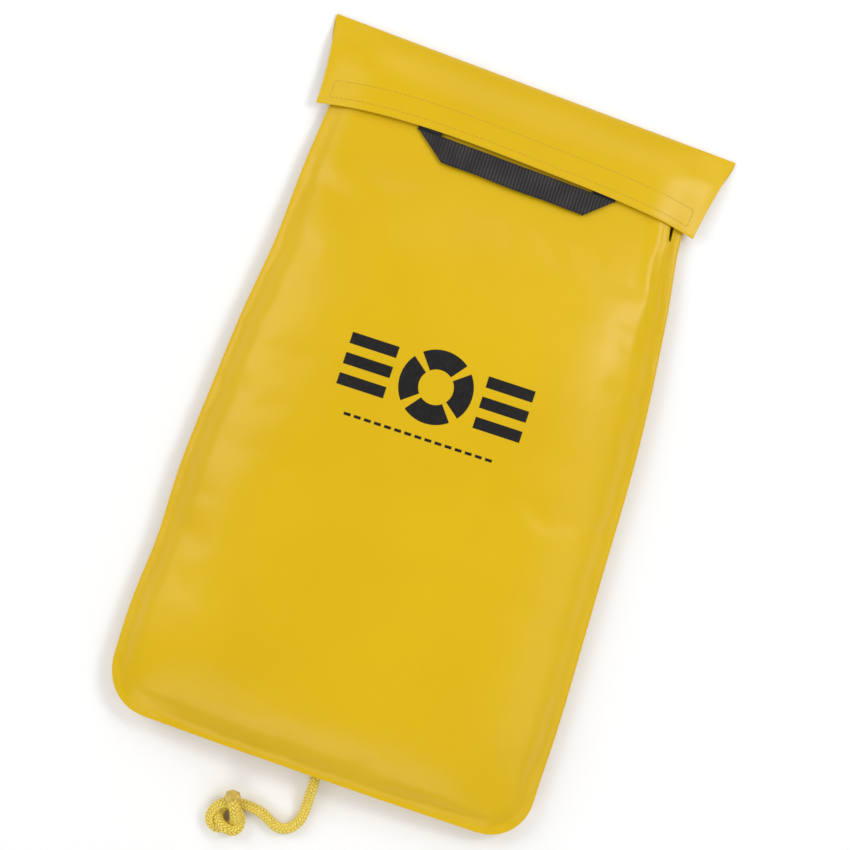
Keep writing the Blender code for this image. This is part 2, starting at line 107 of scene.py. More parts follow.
FLAP_DEPTH = 0.060
FLAP_FOLD_HALF_WIDTH = 0.1645
FLAP_EDGE_HALF_WIDTH = 0.155
FLAP_WIDTH_CURVE = 1.8
FLAP_EDGE_TILT = 0.012
FLAP_CORNER_DROOP = (0.013, 0.006)
FLAP_DROOP_CURVE = (2.6, 4.0)
FLAP_STACK = 0.0042
FLAP_SIDE_LIFT = 0.0026
FLAP_FLAT_HALF_WIDTH = 0.108
FLAP_FALL_WIDTH = 0.052
FLAP_RISE = 0.038

TAPE_HALF_WIDTH = 0.130
LOOP_TAPE_DOWN = (0.038, 0.058)
HOOK_TAPE_HALF_WIDTH = 0.148
HOOK_TAPE_UP = (0.0045, 0.0210)
HEM_DOWN = 0.037
TAPE = 0.001
HOOK_TAPE = 0.0009
# How far the loop tape's face stands over the front panel's, and the hook tape's under the flap's.
LOOP_TAPE_LIFT = 0.0026
HOOK_TAPE_DROP = 0.0011

WEBBING_WIDTH = 0.019
WEBBING = 0.001
HANDLE_ACROSS = 0.006
HANDLE_HALF = 0.0808
HANDLE_FOLDS = (0.025, 0.0205)
HANDLE_PIVOT_DOWN = 0.0626
HANDLE_TOP = HANDLE_PIVOT_DOWN + 0.0003
LEG_TOP_DOWN = 0.030
TACK_DOWN = (0.0325, 0.0355)
TACK_STITCHES = 30

CLOTH = 0.0009
FLANGE = 0.0016
WELD_GAP = 0.0012
ROPE_DIAMETER = 0.008

# The steep wall at the eyelet and the slit, as (distance in from the outline, share of the rim's height).
STEEP_WALL = ((0.0, 1.0), (0.002, 0.96), (0.0032, 0.08), (0.005, 0.0))
EYELET_ACROSS = 0.0055
ROPE_HOLE_RADIUS = 0.0066

# How deep the cloth's short folds at the weld are, and its long crease on the right.
PUCKER_DEPTH = 0.0012
CREASE_DEPTH = 0.0012

# The short opening at the mouth's right end, where the weld ends: how far in from the outline, where it
# ends, how wide it gapes, and how far round it the cloth gives.
SLIT_INSET = 0.0078
SLIT_DOWN = 0.0790
SLIT_GAPE = 0.0024
SLIT_REACH = 0.012

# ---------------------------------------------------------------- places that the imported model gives
FLAP_LOW, FLAP_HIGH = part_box("closing_flap")
FOLD_X = (FLAP_LOW.x + FLAP_HIGH.x) / 2
FOLD_Y = FLAP_HIGH.y
INNER_KNOT_LOW, INNER_KNOT_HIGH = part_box("inner_knot")
INNER_KNOT = (INNER_KNOT_LOW + INNER_KNOT_HIGH) / 2
EYELET = Vector((INNER_KNOT.x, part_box("rope_eyelet")[0].y, INNER_KNOT.z))


# ---------------------------------------------------------------- the bag's plan and heights
def clamp(share):
    return min(max(share, 0.0), 1.0)


def smooth(share):
    share = clamp(share)
    return share * share * (3 - 2 * share)


def hill(value, middle, reach):
    """A rise to 1 at the middle that has died out at about twice the reach."""
    return math.exp(-(((value - middle) / reach) ** 2))


def full_half_width(down):
    share = clamp((down - FLAP_DEPTH) / (BAG_LENGTH - FLAP_DEPTH))
    return FOOT_HALF_WIDTH - (FOOT_HALF_WIDTH - MOUTH_HALF_WIDTH) * (1.0 - share) ** WIDTH_CURVE


def half_width(down):
    into_corner = min(max(down - FOOT_START, 0.0), CORNER_RADIUS)
    return full_half_width(down) - CORNER_RADIUS + math.sqrt(CORNER_RADIUS**2 - into_corner**2)


def plan(across, down):
    """The X and Y of a place on the bag. The lower end leans a little to +X, as a soft bag lies."""
    skew = FOOT_SKEW * across * down / BAG_LENGTH
    swing = 0.0
    for side, middle, reach, amount in OUTLINE_SWINGS:
        share = max(side * across / FOOT_HALF_WIDTH, 0.0)
        swing += side * amount * share**2 * hill(down, middle, reach)
    rise = FOOT_RISE - FOOT_RISE_TILT * across
    rise *= smooth((down - FOOT_RISE_START) / (BAG_LENGTH - FOOT_RISE_START))
    return FOLD_X + TOP_SHIFT + LEAN * down + across + swing, FOLD_Y - down * (1 - skew) + rise


def from_fold(right, down, height):
    """A point given from the middle of the fold, square to it."""
    return Vector((FOLD_X + right, FOLD_Y - down, height))


def inset(across, down):
    """How far a place lies in from the outline, up to the corner radius."""
    side = max(abs(across) - (full_half_width(down) - CORNER_RADIUS), 0.0)
    foot = max(down - FOOT_START, 0.0)
    return max(CORNER_RADIUS - math.hypot(side, foot), 0.0)


def along_rim(across, down):
    """Distance along the outline to the place on it that is nearest."""
    side = abs(across) - (full_half_width(down) - CORNER_RADIUS)
    foot = down - FOOT_START
    if foot <= 0:
        return down
    if side <= 0:
        return FOOT_START + CORNER_RADIUS * math.pi / 2 - side
    return FOOT_START + CORNER_RADIUS * math.atan2(foot, side)


def side_noise(across, down, scale, deep_scale, seed):
    """Noise that runs along the rim, and differs from one side of the bag to the other."""
    place = along_rim(across, down) * math.copysign(1, across) + (0.0 if across > 0 else -0.3)
    return noise.noise(Vector((place * scale, inset(across, down) * deep_scale, seed)))


def rim_height(across, down):
    side = MOUTH_RIM_HEIGHT + (SIDE_RIM_HEIGHT - MOUTH_RIM_HEIGHT) * smooth(down / SIDE_RIM_REACH)
    middle = 1 - min(abs(across) / full_half_width(down), 1.0) ** 2
    lift = FOOT_RIM_RISE * middle * smooth((down - BAG_LENGTH + FOOT_RIM_REACH) / FOOT_RIM_REACH)
    wave = 0.0012 * noise.noise(Vector((along_rim(across, down) * math.copysign(34, across), 3.1, 0.0)))
    wave *= smooth((down - 0.085) / 0.05) * smooth(abs(across) / 0.05)
    return side * min(down / MOUTH_DOWN, 1.0) + lift + wave


def front_height(across, down):
    """The outer face of the front panel before the cloth settles."""
    base = rim_height(across, down) + WELD_GAP
    edge = clamp((inset(across, down) - FLANGE) / CROWN_EDGE)
    crown = MOUTH_CROWN + (FULL_CROWN - MOUTH_CROWN) * smooth((down - MOUTH_DOWN) / CROWN_REACH)
    side = min(abs(across) / full_half_width(down), 1.0)
    full = (1 - side**SECTION_SQUARENESS) ** SECTION_FULLNESS
    flat = 1 - 0.3 * side**2
    filled = smooth((down - FILL_START) / FILL_REACH)
    foot = 1 - (1 - clamp((BAG_LENGTH - down) / FOOT_FALL)) ** FOOT_FALL_CURVE
    shoulder = (1 - (1 - edge) ** 2) * (0.55 + 0.45 * smooth(edge * 1.6))
    return base + crown * (full * filled + flat * (1 - filled)) * foot * shoulder


def gathers(across, down):
    """Where the cloth is gathered by the weld: most on the upper right side and at the bottom corners."""
    place = along_rim(across, down)
    corner = hill(place, FOOT_START + 0.030, 0.036)
    upper = hill(place, 0.150, 0.075) if across > 0 else 0.0
    return 0.16 + 0.8 * upper + (0.75 if across > 0 else 1.0) * corner


def pucker(across, down):
    """Short folds that run in from the weld and die out."""
    edge = inset(across, down) - FLANGE
    reach = CORNER_RADIUS - FLANGE - 0.0005
    if edge <= 0 or edge >= reach:
        return 0.0
    ridge = 1 - 2.4 * abs(side_noise(across, down, 42, 10, 1.7))
    fine = side_noise(across, down, 120, 30, 6.3)
    fade = min(edge / 0.003, 1.0) * (1 - edge / reach) ** 1.7
    return PUCKER_DEPTH * gathers(across, down) * fade * (ridge + 0.5 * fine)


def long_crease(across, down):
    """The doubled crease that runs down from the slit, a little in from the right weld."""
    if across < 0:
        return 0.0
    fade = smooth((0.205 - down) / 0.10) * smooth((down - 0.050) / 0.02)
    wander = 0.0022 * noise.noise(Vector((down * 30, 0.0, 4.4)))
    edge = inset(across, down)
    outer = hill(edge, 0.0108 + wander, 0.0030) * (0.75 + 0.5 * noise.noise(Vector((down * 55, 2.0, 0.0))))
    inner = hill(edge, 0.0190 + 1.6 * wander, 0.0050) * 0.9
    between = hill(edge, 0.0148 + 1.3 * wander, 0.0010) * 0.5
    return CREASE_DEPTH * fade * (outer + inner - between)


def soft_folds(across, down):
    """Broad, shallow folds in the filled cloth."""
    broad = noise.noise(Vector((across * 13 + 0.6, down * 9, 0.4)))
    slanted = noise.noise(Vector(((across + down) * 17, (across - down) * 7, 7.7)))
    corner = hill(along_rim(across, down), FOOT_START + 0.06, 0.055)
    corner *= hill(inset(across, down), 0.016, 0.0045)
    sag = corner if across < 0 else -0.5 * corner
    fade = smooth((down - 0.09) / 0.05) * smooth((inset(across, down) - 0.006) / 0.02)
    return (0.0013 * broad + 0.0009 * slanted) * fade - 0.0011 * sag


def slit_place(across, down):
    """Moves a place of the front panel aside where the slit gapes, and lifts the cloth beside it."""
    if across <= 0 or down > SLIT_DOWN + SLIT_REACH:
        return across, 0.0
    opening = clamp((SLIT_DOWN - down) / SLIT_REACH) ** 0.55
    beyond = half_width(down) - across - SLIT_INSET
    if beyond < 0.0001:
        return across, 0.0
    beside = math.exp(-beyond / SLIT_REACH)
    over = 1 - 0.4 * smooth((down - SLIT_DOWN) / SLIT_REACH)
    return across - SLIT_GAPE * opening * beside, 0.0020 * beside * over * smooth((down - 0.04) / 0.02)


def flap_place(right, down):
    """The (across, down) of a place on the flap that is given from the middle of the fold."""
    return right - TOP_SHIFT - LEAN * down, down


def flap_edge_down(right):
    side = 0 if right < 0 else 1
    droop = FLAP_CORNER_DROOP[side] * abs(right / FLAP_EDGE_HALF_WIDTH) ** FLAP_DROOP_CURVE[side]
    return FLAP_DEPTH + FLAP_EDGE_TILT * right + droop


def flap_half_width(share):
    """Half the flap's width, from the fold at 0 to its free edge at 1."""
    spare = FLAP_FOLD_HALF_WIDTH - FLAP_EDGE_HALF_WIDTH
    return FLAP_EDGE_HALF_WIDTH + spare * (1 - share) ** FLAP_WIDTH_CURVE


def flap_height(across, down):
    """The flap's under face: up over the mouth from the fold, over the tapes, and down at the sides."""
    right = across + TOP_SHIFT + LEAN * down
    inside = min(max(across, -FLAP_FLAT_HALF_WIDTH), FLAP_FLAT_HALF_WIDTH)
    top = front_height(inside, max(down, MOUTH_DOWN)) + FLAP_STACK
    side = rim_height(0.0, down) + FLAP_SIDE_LIFT
    fall = smooth((abs(right) - FLAP_FLAT_HALF_WIDTH) / FLAP_FALL_WIDTH) ** 1.3
    rise = math.sin(min(down / FLAP_RISE, 1.0) * math.pi / 2) ** 0.8
    ripple = 0.0007 * noise.noise(Vector((right * 16, down * 30, 9.0))) * smooth((down - 0.004) / 0.02)
    return CLOTH + (top - (top - side) * fall - CLOTH) * rise + ripple


# ---------------------------------------------------------------- nodes for the materials
class Surface:
    """A material and the few nodes that its finish is made of."""

    def __init__(self, name, colour, roughness, metallic=0.0):
        self.material = bpy.data.materials.new(name)
        self.material.use_nodes = True
        self.tree = self.material.node_tree
        self.shader = self.tree.nodes["Principled BSDF"]
        self.shader.inputs["Base Color"].default_value = (*colour, 1.0)
        self.shader.inputs["Roughness"].default_value = roughness
        self.shader.inputs["Metallic"].default_value = metallic
        self.normal = None
        self.place = self.node("ShaderNodeTexCoord").outputs["Object"]

    def node(self, kind, **values):
        made = self.tree.nodes.new(kind)
        for key, value in values.items():
            setattr(made, key, value)
        return made

    def link(self, out, into):
        self.tree.links.new(out, into)

    def set(self, name, value):
        self.shader.inputs[name].default_value = value

    def noise(self, scale, detail):
        made = self.node("ShaderNodeTexNoise")
        made.inputs["Scale"].default_value = scale
        made.inputs["Detail"].default_value = detail
        self.link(self.place, made.inputs["Vector"])
        return made.outputs["Fac"]

    def stored(self, name):
        """A number that the mesh itself holds at each point."""
        made = self.node("ShaderNodeAttribute", attribute_type="GEOMETRY", attribute_name=name)
        return made.outputs["Fac"]

    def wave(self, scale, direction, distortion=0.0):
        made = self.node("ShaderNodeTexWave", bands_direction=direction)
        made.inputs["Scale"].default_value = scale
        made.inputs["Distortion"].default_value = distortion
        self.link(self.place, made.inputs["Vector"])
        return made.outputs["Fac"]

    def maths(self, operation, first, second):
        made = self.node("ShaderNodeMath", operation=operation)
        for socket, value in zip(made.inputs, (first, second)):
            if isinstance(value, float):
                socket.default_value = value
            else:
                self.link(value, socket)
        return made.outputs["Value"]

    def shade(self, factor, low, high, from_colour, to_colour):
        """A colour that goes from one to another with the factor."""
        made = self.node("ShaderNodeValToRGB")
        for end, position, colour in zip(made.color_ramp.elements, (low, high), (from_colour, to_colour)):
            end.position = position
            end.color = (*colour, 1.0)
        self.link(factor, made.inputs["Fac"])
        self.link(made.outputs["Color"], self.shader.inputs["Base Color"])

    def roughen(self, factor, low, high):
        spread = self.node("ShaderNodeMapRange")
        spread.inputs["To Min"].default_value = low
        spread.inputs["To Max"].default_value = high
        self.link(factor, spread.inputs["Value"])
        self.link(spread.outputs["Result"], self.shader.inputs["Roughness"])

    def bump(self, height, distance, strength=1.0):
        made = self.node("ShaderNodeBump")
        made.inputs["Distance"].default_value = distance
        made.inputs["Strength"].default_value = strength
        self.link(height, made.inputs["Height"])
        if self.normal is not None:
            self.link(self.normal, made.inputs["Normal"])
        self.normal = made.outputs["Normal"]
        self.link(self.normal, self.shader.inputs["Normal"])

    def mottle(self, scale, detail, low, high, from_colour, to_colour):
        """A colour that drifts between two."""
        self.shade(self.noise(scale, detail), low, high, from_colour, to_colour)

    def grain(self, scale, detail, distance, strength=1.0):
        """A fine unevenness in the surface."""
        self.bump(self.noise(scale, detail), distance, strength)


def coated_cloth():
    """Yellow PVC over a polyester scrim: smooth and half glossy, with the weave just showing."""
    made = Surface("yellow_coated_cloth", (0.69, 0.440, 0.0015), 0.33)
    made.mottle(9.0, 3.0, 0.30, 0.72, (0.670, 0.424, 0.001), (0.710, 0.457, 0.002))
    made.roughen(made.noise(40.0, 4.0), 0.30, 0.38)
    made.set("Specular IOR Level", 0.29)
    weave = made.maths("MULTIPLY", made.wave(430.0, "X"), made.wave(430.0, "Y"))
    made.bump(weave, 0.00004, 0.35)
    made.grain(120.0, 3.0, 0.00035, 0.10)
    made.grain(26.0, 2.0, 0.0020, 0.10)
    return made.material


def print_ink():
    made = Surface("black_print", (0.008, 0.007, 0.007), 0.40)
    made.mottle(300.0, 4.0, 0.35, 0.75, (0.006, 0.005, 0.005), (0.013, 0.012, 0.011))
    made.set("Specular IOR Level", 0.30)
    made.grain(700.0, 2.0, 0.00003, 0.3)
    return made.material


def webbing_cloth():
    """Charcoal polyester yarn: matt, with a painted highlight on the tops of the ribs and painted shade between
    them.
    """
    made = Surface("charcoal_webbing", (0.030, 0.026, 0.029), 0.75)
    # Painted highlight on the rib tops and painted shade in the grooves, from the stored relief, broken up by
    # fine noise.
    painted_light_mask = made.maths("MULTIPLY", made.stored("relief"), made.maths("ADD", made.noise(1300.0, 3.0), 0.45))
    made.shade(painted_light_mask, 0.20, 0.85, (0.007, 0.006, 0.006), (0.062, 0.054, 0.056))
    made.set("Specular IOR Level", 0.30)
    made.set("Sheen Weight", 0.12)
    made.set("Sheen Roughness", 0.5)
    made.grain(1500.0, 3.0, 0.00012, 0.5)
    return made.material


def closure_cloth(name, hooks):
    """Hook or loop tape: a black ground with stiff rows of hooks, or a fluffy mat of loops."""
    made = Surface(name, (0.018, 0.018, 0.020), 0.85)
    fibres = made.noise(700.0 if hooks else 260.0, 4.0)
    made.shade(fibres, 0.35, 0.70, (0.008, 0.008, 0.009), (0.050, 0.050, 0.054))
    made.set("Sheen Weight", 0.15 if hooks else 0.6)
    made.set("Sheen Roughness", 0.6)
    if hooks:
        rows = made.maths("MULTIPLY", made.wave(480.0, "X"), made.wave(380.0, "Y"))
        made.bump(rows, 0.0004, 0.9)
    else:
        made.grain(420.0, 5.0, 0.0009, 0.9)
        made.grain(1400.0, 3.0, 0.0003, 0.7)
    return made.material


def thread_cloth():
    made = Surface("yellow_thread", (0.60, 0.405, 0.012), 0.6)
    made.mottle(1200.0, 2.0, 0.3, 0.7, (0.54, 0.365, 0.010), (0.66, 0.445, 0.014))
    return made.material


def rope_yarn():
    """Golden polypropylene yarn, with a painted highlight where a strand is on top and painted shade where it
    dives.
    """
    made = Surface("golden_rope_yarn", (0.78, 0.56, 0.07), 0.42)
    # Painted highlight on the strands' tops and painted shade where they dive and at their sides, from the
    # stored number.
    painted_light_mask = made.maths("MULTIPLY", made.stored("relief"), made.maths("ADD", made.noise(700.0, 3.0), 0.55))
    made.shade(painted_light_mask, 0.12, 0.95, (0.50, 0.31, 0.006), (1.0, 0.82, 0.15))
    made.set("Specular IOR Level", 0.45)
    made.grain(2600.0, 2.0, 0.00010, 0.55)
    return made.material


def rope_core():
    # The core's dark brown is painted shade, seen in the gaps between the strands.
    made = Surface("shaded_rope_core", (0.16, 0.085, 0.005), 0.8)
    made.grain(900.0, 2.0, 0.0002, 0.5)
    return made.material


def stored_rope_yarn():
    """The line inside the bag, whose braid is drawn in its finish."""
    made = Surface("stored_rope_yarn", (0.66, 0.47, 0.07), 0.5)
    made.mottle(330.0, 4.0, 0.30, 0.72, (0.48, 0.31, 0.03), (0.84, 0.66, 0.19))
    made.set("Sheen Weight", 0.3)
    ribs = made.maths("MULTIPLY", made.wave(130.0, "DIAGONAL", 2.0), made.wave(160.0, "X", 2.0))
    made.bump(ribs, 0.0008, 0.8)
    made.grain(1800.0, 2.0, 0.0001, 0.5)
    return made.material


def melted_yarn():
    made = Surface("melted_rope_end", (0.60, 0.42, 0.05), 0.3)
    made.mottle(260.0, 3.0, 0.3, 0.7, (0.45, 0.29, 0.02), (0.76, 0.56, 0.12))
    made.set("Subsurface Weight", 0.2)
    made.set("Subsurface Radius", (0.002, 0.0012, 0.0004))
    made.grain(340.0, 3.0, 0.0006, 0.6)
    return made.material


def nickel():
    made = Surface("nickel_plate", (0.66, 0.64, 0.60), 0.24, 1.0)
    made.roughen(made.noise(500.0, 3.0), 0.18, 0.38)
    made.grain(1200.0, 2.0, 0.00003, 0.4)
    return made.material


def foam_skin():
    made = Surface("grey_foam", (0.50, 0.51, 0.52), 0.9)
    made.mottle(500.0, 3.0, 0.35, 0.7, (0.42, 0.43, 0.44), (0.58, 0.59, 0.60))
    made.grain(1100.0, 2.0, 0.0004, 0.6)
    return made.material


def studio_white():
    made = Surface("studio_white", (0.93, 0.93, 0.93), 0.9)
    made.mottle(3.0, 1.0, 0.3, 0.7, (0.925, 0.925, 0.925), (0.935, 0.935, 0.935))
    return made.material


# ---------------------------------------------------------------- building blocks
SHARP_ANGLE = math.radians(50)
UP = Vector((0.0, 0.0, 1.0))


def stand_for(piece, body, slot, *nodes):
    """The piece rides on a body and replaces the nodes that are named; the slot is not used."""
    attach(piece, body)
    if nodes:
        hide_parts(*nodes)


def joint_place(name):
    """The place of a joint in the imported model."""
    return next(Vector(joint["pos_m"]) for joint in frame["joints"] if joint["name"] == name)


def add_object(name, data, surface):
    made = bpy.data.objects.new(name, data)
    bpy.context.scene.collection.objects.link(made)
    if surface is not None:
        made.data.materials.append(surface)
    return made


def mesh_of(name, points, faces, surface):
    mesh = bpy.data.meshes.new(name)
    mesh.from_pydata([tuple(p) for p in points], [], faces)
    mesh.update()
    mesh.shade_smooth()
    return add_object(name, mesh, surface)


def store_relief(obj, values):
    """Keeps a number from 0 to 1 at each point, which the materials turn into painted highlight and painted
    shade.
    """
    layer = obj.data.attributes.new("relief", "FLOAT", "POINT")
    layer.data.foreach_set("value", np.array(values, np.float32))


def grid_faces(rows, columns):
    """Faces of a grid whose rows go down the bag and whose columns go to +X, facing up."""
    faces = []
    for i in range(rows - 1):
        for j in range(columns - 1):
            first = i * columns + j
            faces.append((first, first + columns, first + columns + 1, first + 1))
    return faces


def grid_of(rows, columns, place):
    """Rows of what a function gives for the number of each row and column."""
    return [[place(i, j) for j in range(columns)] for i in range(rows)]


def apply_modifiers(obj):
    """Makes the object's evaluated shape its own mesh."""
    graph = bpy.context.evaluated_depsgraph_get()
    mesh = bpy.data.meshes.new_from_object(obj.evaluated_get(graph))
    obj.modifiers.clear()
    old = obj.data
    obj.data = mesh
    bpy.data.meshes.remove(old)


def sharpen(obj):
    obj.data.shade_smooth()
    obj.data.set_sharp_from_angle(angle=SHARP_ANGLE)


def thicken(obj, thickness):
    """Gives a surface its thickness, on the side that faces away from its normals."""
    wall = obj.modifiers.new("cloth", "SOLIDIFY")
    wall.thickness = thickness
    wall.offset = -1.0
    wall.use_even_offset = True
    apply_modifiers(obj)
    sharpen(obj)
    return obj


def sheet_from_rows(name, surface, rows, thickness, flip=False):
    """A thin closed sheet from rows of points that go down the bag."""
    points = [p for row in rows for p in row]
    faces = grid_faces(len(rows), len(rows[0]))
    if flip:
        faces = [face[::-1] for face in faces]
    return thicken(mesh_of(name, points, faces, surface), thickness)


def join(name, meshes, surface):
    """One object of several lists of points and faces."""
    points, faces = [], []
    for more_points, more_faces in meshes:
        start = len(points)
        points.extend(more_points)
        faces.extend(tuple(start + k for k in face) for face in more_faces)
    return mesh_of(name, points, faces, surface)


def smooth_line(points, spacing):
    """Points about a spacing apart on a Catmull-Rom curve through the given ones."""
    ends = [2 * points[0] - points[1], *points, 2 * points[-1] - points[-2]]
    line = []
    for p0, p1, p2, p3 in zip(ends, ends[1:], ends[2:], ends[3:]):
        steps = max(1, round((p2 - p1).length / spacing))
        for k in range(steps):
            t = k / steps
            straight = 2 * p1 + (p2 - p0) * t
            bent = (2 * p0 - 5 * p1 + 4 * p2 - p3) * t * t + (3 * p1 - p0 - 3 * p2 + p3) * t**3
            line.append(0.5 * (straight + bent))
    return [*line, points[-1]]


def evenly(line, spacing):
    """The same line with its points an equal distance apart."""
    places = np.array([tuple(p) for p in line])
    lengths = np.linalg.norm(np.diff(places, axis=0), axis=1)
    along = np.concatenate([[0.0], np.cumsum(lengths)])
    count = max(2, int(along[-1] / spacing) + 1)
    at = np.linspace(0.0, along[-1], count)
    return [Vector(p) for p in np.stack([np.interp(at, along, places[:, k]) for k in range(3)], axis=1)]


def line_length(line):
    return sum((b - a).length for a, b in zip(line, line[1:]))


def moving_frames(line):
    """For each point of a line, two directions square to it that turn as little as they can."""
    last = len(line) - 1
    tangents = [(line[min(i + 1, last)] - line[max(i - 1, 0)]).normalized() for i in range(last + 1)]
    side = tangents[0].orthogonal().normalized()
    frames = []
    for tangent in tangents:
        side = (side - tangent * side.dot(tangent)).normalized()
        frames.append((side, tangent.cross(side)))
    return frames


def tube_rings(rings, points, faces):
    """Adds a closed tube through rings of points."""
    start = len(points)
    sides = len(rings[0])
    for ring in rings:
        points.extend(ring)
    for i in range(len(rings) - 1):
        for j in range(sides):
            k = (j + 1) % sides
            first = start + i * sides
            faces.append((first + j, first + k, first + sides + k, first + sides + j))
    faces.append(tuple(start + j for j in reversed(range(sides))))
    last = start + (len(rings) - 1) * sides
    faces.append(tuple(last + j for j in range(sides)))


def thread_stitch(start, end, radius, points, faces):
    """One stitch: a short thread that bows up and dives into the cloth at both ends."""
    along = end - start
    side = along.cross(UP).normalized()
    rings = []
    for t in (0.0, 0.12, 0.3, 0.5, 0.7, 0.88, 1.0):
        rise = 1.3 * math.sin(math.pi * t) ** 0.6 - 0.9
        centre = start + along * t + UP * radius * rise
        ring = []
        for j in range(6):
            turn = math.pi * j / 3
            ring.append(centre + side * (radius * 1.15 * math.cos(turn)) + UP * (radius * math.sin(turn)))
        rings.append(ring)
    tube_rings(rings, points, faces)


class Cover:
    """Finds the height of a finished piece's upper face under a place."""

    def __init__(self, obj):
        self.tree = BVHTree.FromPolygons(
            [v.co for v in obj.data.vertices], [p.vertices for p in obj.data.polygons]
        )

    def height(self, x, y):
        hit = self.tree.ray_cast(Vector((x, y, 0.2)), -UP)[0]
        return hit.z if hit is not None else None

    def even_height(self, x, y, reach=0.004):
        """The highest of a few places near, so that a stiff band lies on the cloth and not in it."""
        found = [self.height(x + dx, y + dy) for dx in (-reach, 0, reach) for dy in (-reach, 0, reach)]
        return max(z for z in found if z is not None)


# ---------------------------------------------------------------- the camera, the floor and the light
VIEW_TURN = math.radians(20.56)
VIEW_CENTRE = (0.0107, 0.274)
VIEW_WIDTH = 0.6545
LENS = 100.0
SENSOR = 36.0
OUTLINE_HEIGHT = 0.008
FLOOR_HEIGHT = -0.0004
# Each softbox: its name, place, size and power in watts.
SOFTBOXES = (
    ("right_softbox", (1.05, 0.80, 1.45), (0.50, 0.60), 10.8),
    ("right_fill", (1.5, -0.3, 1.2), (0.9, 1.3), 5.0),
    ("left_softbox", (-1.6, 0.2, 1.25), (1.1, 1.5), 15.8),
    ("far_softbox", (0.1, 1.8, 1.4), (1.8, 1.0), 8.8),
    ("near_softbox", (-0.1, -1.8, 1.3), (1.8, 1.0), 12.5),
)


def add_camera():
    """Straight above the bag, with the bag turned in the frame."""
    right, down = VIEW_CENTRE
    camera = bpy.data.cameras.new("camera")
    camera.lens = LENS
    camera.sensor_width = SENSOR
    camera.clip_end = 20.0
    made = bpy.data.objects.new("camera", camera)
    made.location = from_fold(right, down, VIEW_WIDTH * LENS / SENSOR + OUTLINE_HEIGHT)
    made.rotation_euler = (0.0, 0.0, VIEW_TURN)
    bpy.context.scene.collection.objects.link(made)
    bpy.context.scene.camera = made


def add_light(name, place, size, power):
    light = bpy.data.lights.new(name, "AREA")
    light.shape = "RECTANGLE"
    light.size, light.size_y = size
    light.energy = power
    made = bpy.data.objects.new(name, light)
    made.location = place
    made.rotation_euler = (Vector((0.0, 0.0, 0.02)) - Vector(place)).to_track_quat("-Z", "Y").to_euler()
    bpy.context.scene.collection.objects.link(made)


def add_studio():
    """A white floor, a white room and soft lights on all sides."""
    corners = [(x, y, FLOOR_HEIGHT) for x, y in ((-6, -6), (6, -6), (6, 6), (-6, 6))]
    mesh_of("floor", corners, [(0, 1, 2, 3)], studio_white())
    world = bpy.data.worlds.new("studio")
    world.use_nodes = True
    world.node_tree.nodes["Background"].inputs["Color"].default_value = (1.0, 1.0, 1.0, 1.0)
    world.node_tree.nodes["Background"].inputs["Strength"].default_value = 0.40
    bpy.context.scene.world = world
    for softbox in SOFTBOXES:
        add_light(*softbox)
    bpy.context.scene.view_settings.view_transform = "Standard"


# ---------------------------------------------------------------- the line's visible tail and its knots
# The tail's route from the eyelet to the knot, as (right of the fold's middle, down, height).
TAIL_ROUTE = (
    (0.0278, 0.5660, 0.0105),
    (0.0279, 0.5725, 0.0082),
    (0.0282, 0.5790, 0.0056),
    (0.0284, 0.5855, 0.0043),
    (0.0276, 0.5925, 0.0042),
    (0.0246, 0.5990, 0.0042),
    (0.0192, 0.6035, 0.0042),
    (0.0125, 0.6045, 0.0042),
    (0.0060, 0.6020, 0.0042),
    (-0.0005, 0.5990, 0.0042),
    (-0.0070, 0.5975, 0.0042),
)
# The overhand knot, given in the same way: a loop over itself, then through it and up over the top.
KNOT_ROUTE = (
    (-0.0149, 0.5972, 0.0042),
    (-0.0202, 0.5975, 0.0041),
    (-0.0255, 0.5992, 0.0041),
    (-0.0300, 0.6026, 0.0041),
    (-0.0326, 0.6073, 0.0043),
    (-0.0324, 0.6120, 0.0062),
    (-0.0290, 0.6160, 0.0096),
    (-0.0236, 0.6180, 0.0112),
    (-0.0180, 0.6180, 0.0098),
    (-0.0150, 0.6142, 0.0074),
    (-0.0156, 0.6092, 0.0066),
    (-0.0186, 0.6046, 0.0080),
    (-0.0228, 0.6009, 0.0096),
    (-0.0279, 0.5991, 0.0104),
    (-0.0327, 0.6009, 0.0098),
    (-0.0367, 0.6061, 0.0080),
    (-0.0386, 0.6125, 0.0062),
    (-0.0367, 0.6182, 0.0048),
    (-0.0314, 0.6208, 0.0041),
    (-0.0261, 0.6192, 0.0040),
    (-0.0218, 0.6156, 0.0044),
    (-0.0194, 0.6116, 0.0074),
    (-0.0200, 0.6072, 0.0124),
    (-0.0220, 0.6026, 0.0160),
    (-0.0242, 0.5984, 0.0168),
    (-0.0262, 0.5950, 0.0158),
    (-0.0272, 0.5934, 0.0148),
)
# The thrower's loop inside the mouth, given in the same way.
HAND_LOOP_ROUTE = (
    (-0.024, 0.1570, 0.0066),
    (-0.026, 0.1450, 0.0054),
    (-0.026, 0.1330, 0.0054),
    (-0.021, 0.1210, 0.0054),
    (-0.010, 0.1130, 0.0054),
    (0.004, 0.1110, 0.0054),
    (0.018, 0.1140, 0.0054),
    (0.028, 0.1230, 0.0054),
    (0.032, 0.1350, 0.0054),
    (0.031, 0.1460, 0.0054),
    (0.028, 0.1570, 0.0066),
)
STRANDS = 8
BRAID_PITCH = 0.0215
STRAND_WIDTH = 0.0020
STRAND_THICKNESS = 0.0012
BRAID_RADIUS = 0.0032
BRAID_WEAVE = 0.00045
BRAID_STEP = 0.0008
STRAND_SIDES = 7
CORE_RADIUS = BRAID_RADIUS - 0.0002
CORE_SIDES = 10
LINE_STEP = 0.0012
MELTED_RADII = (0.0061, 0.0060, 0.0060)


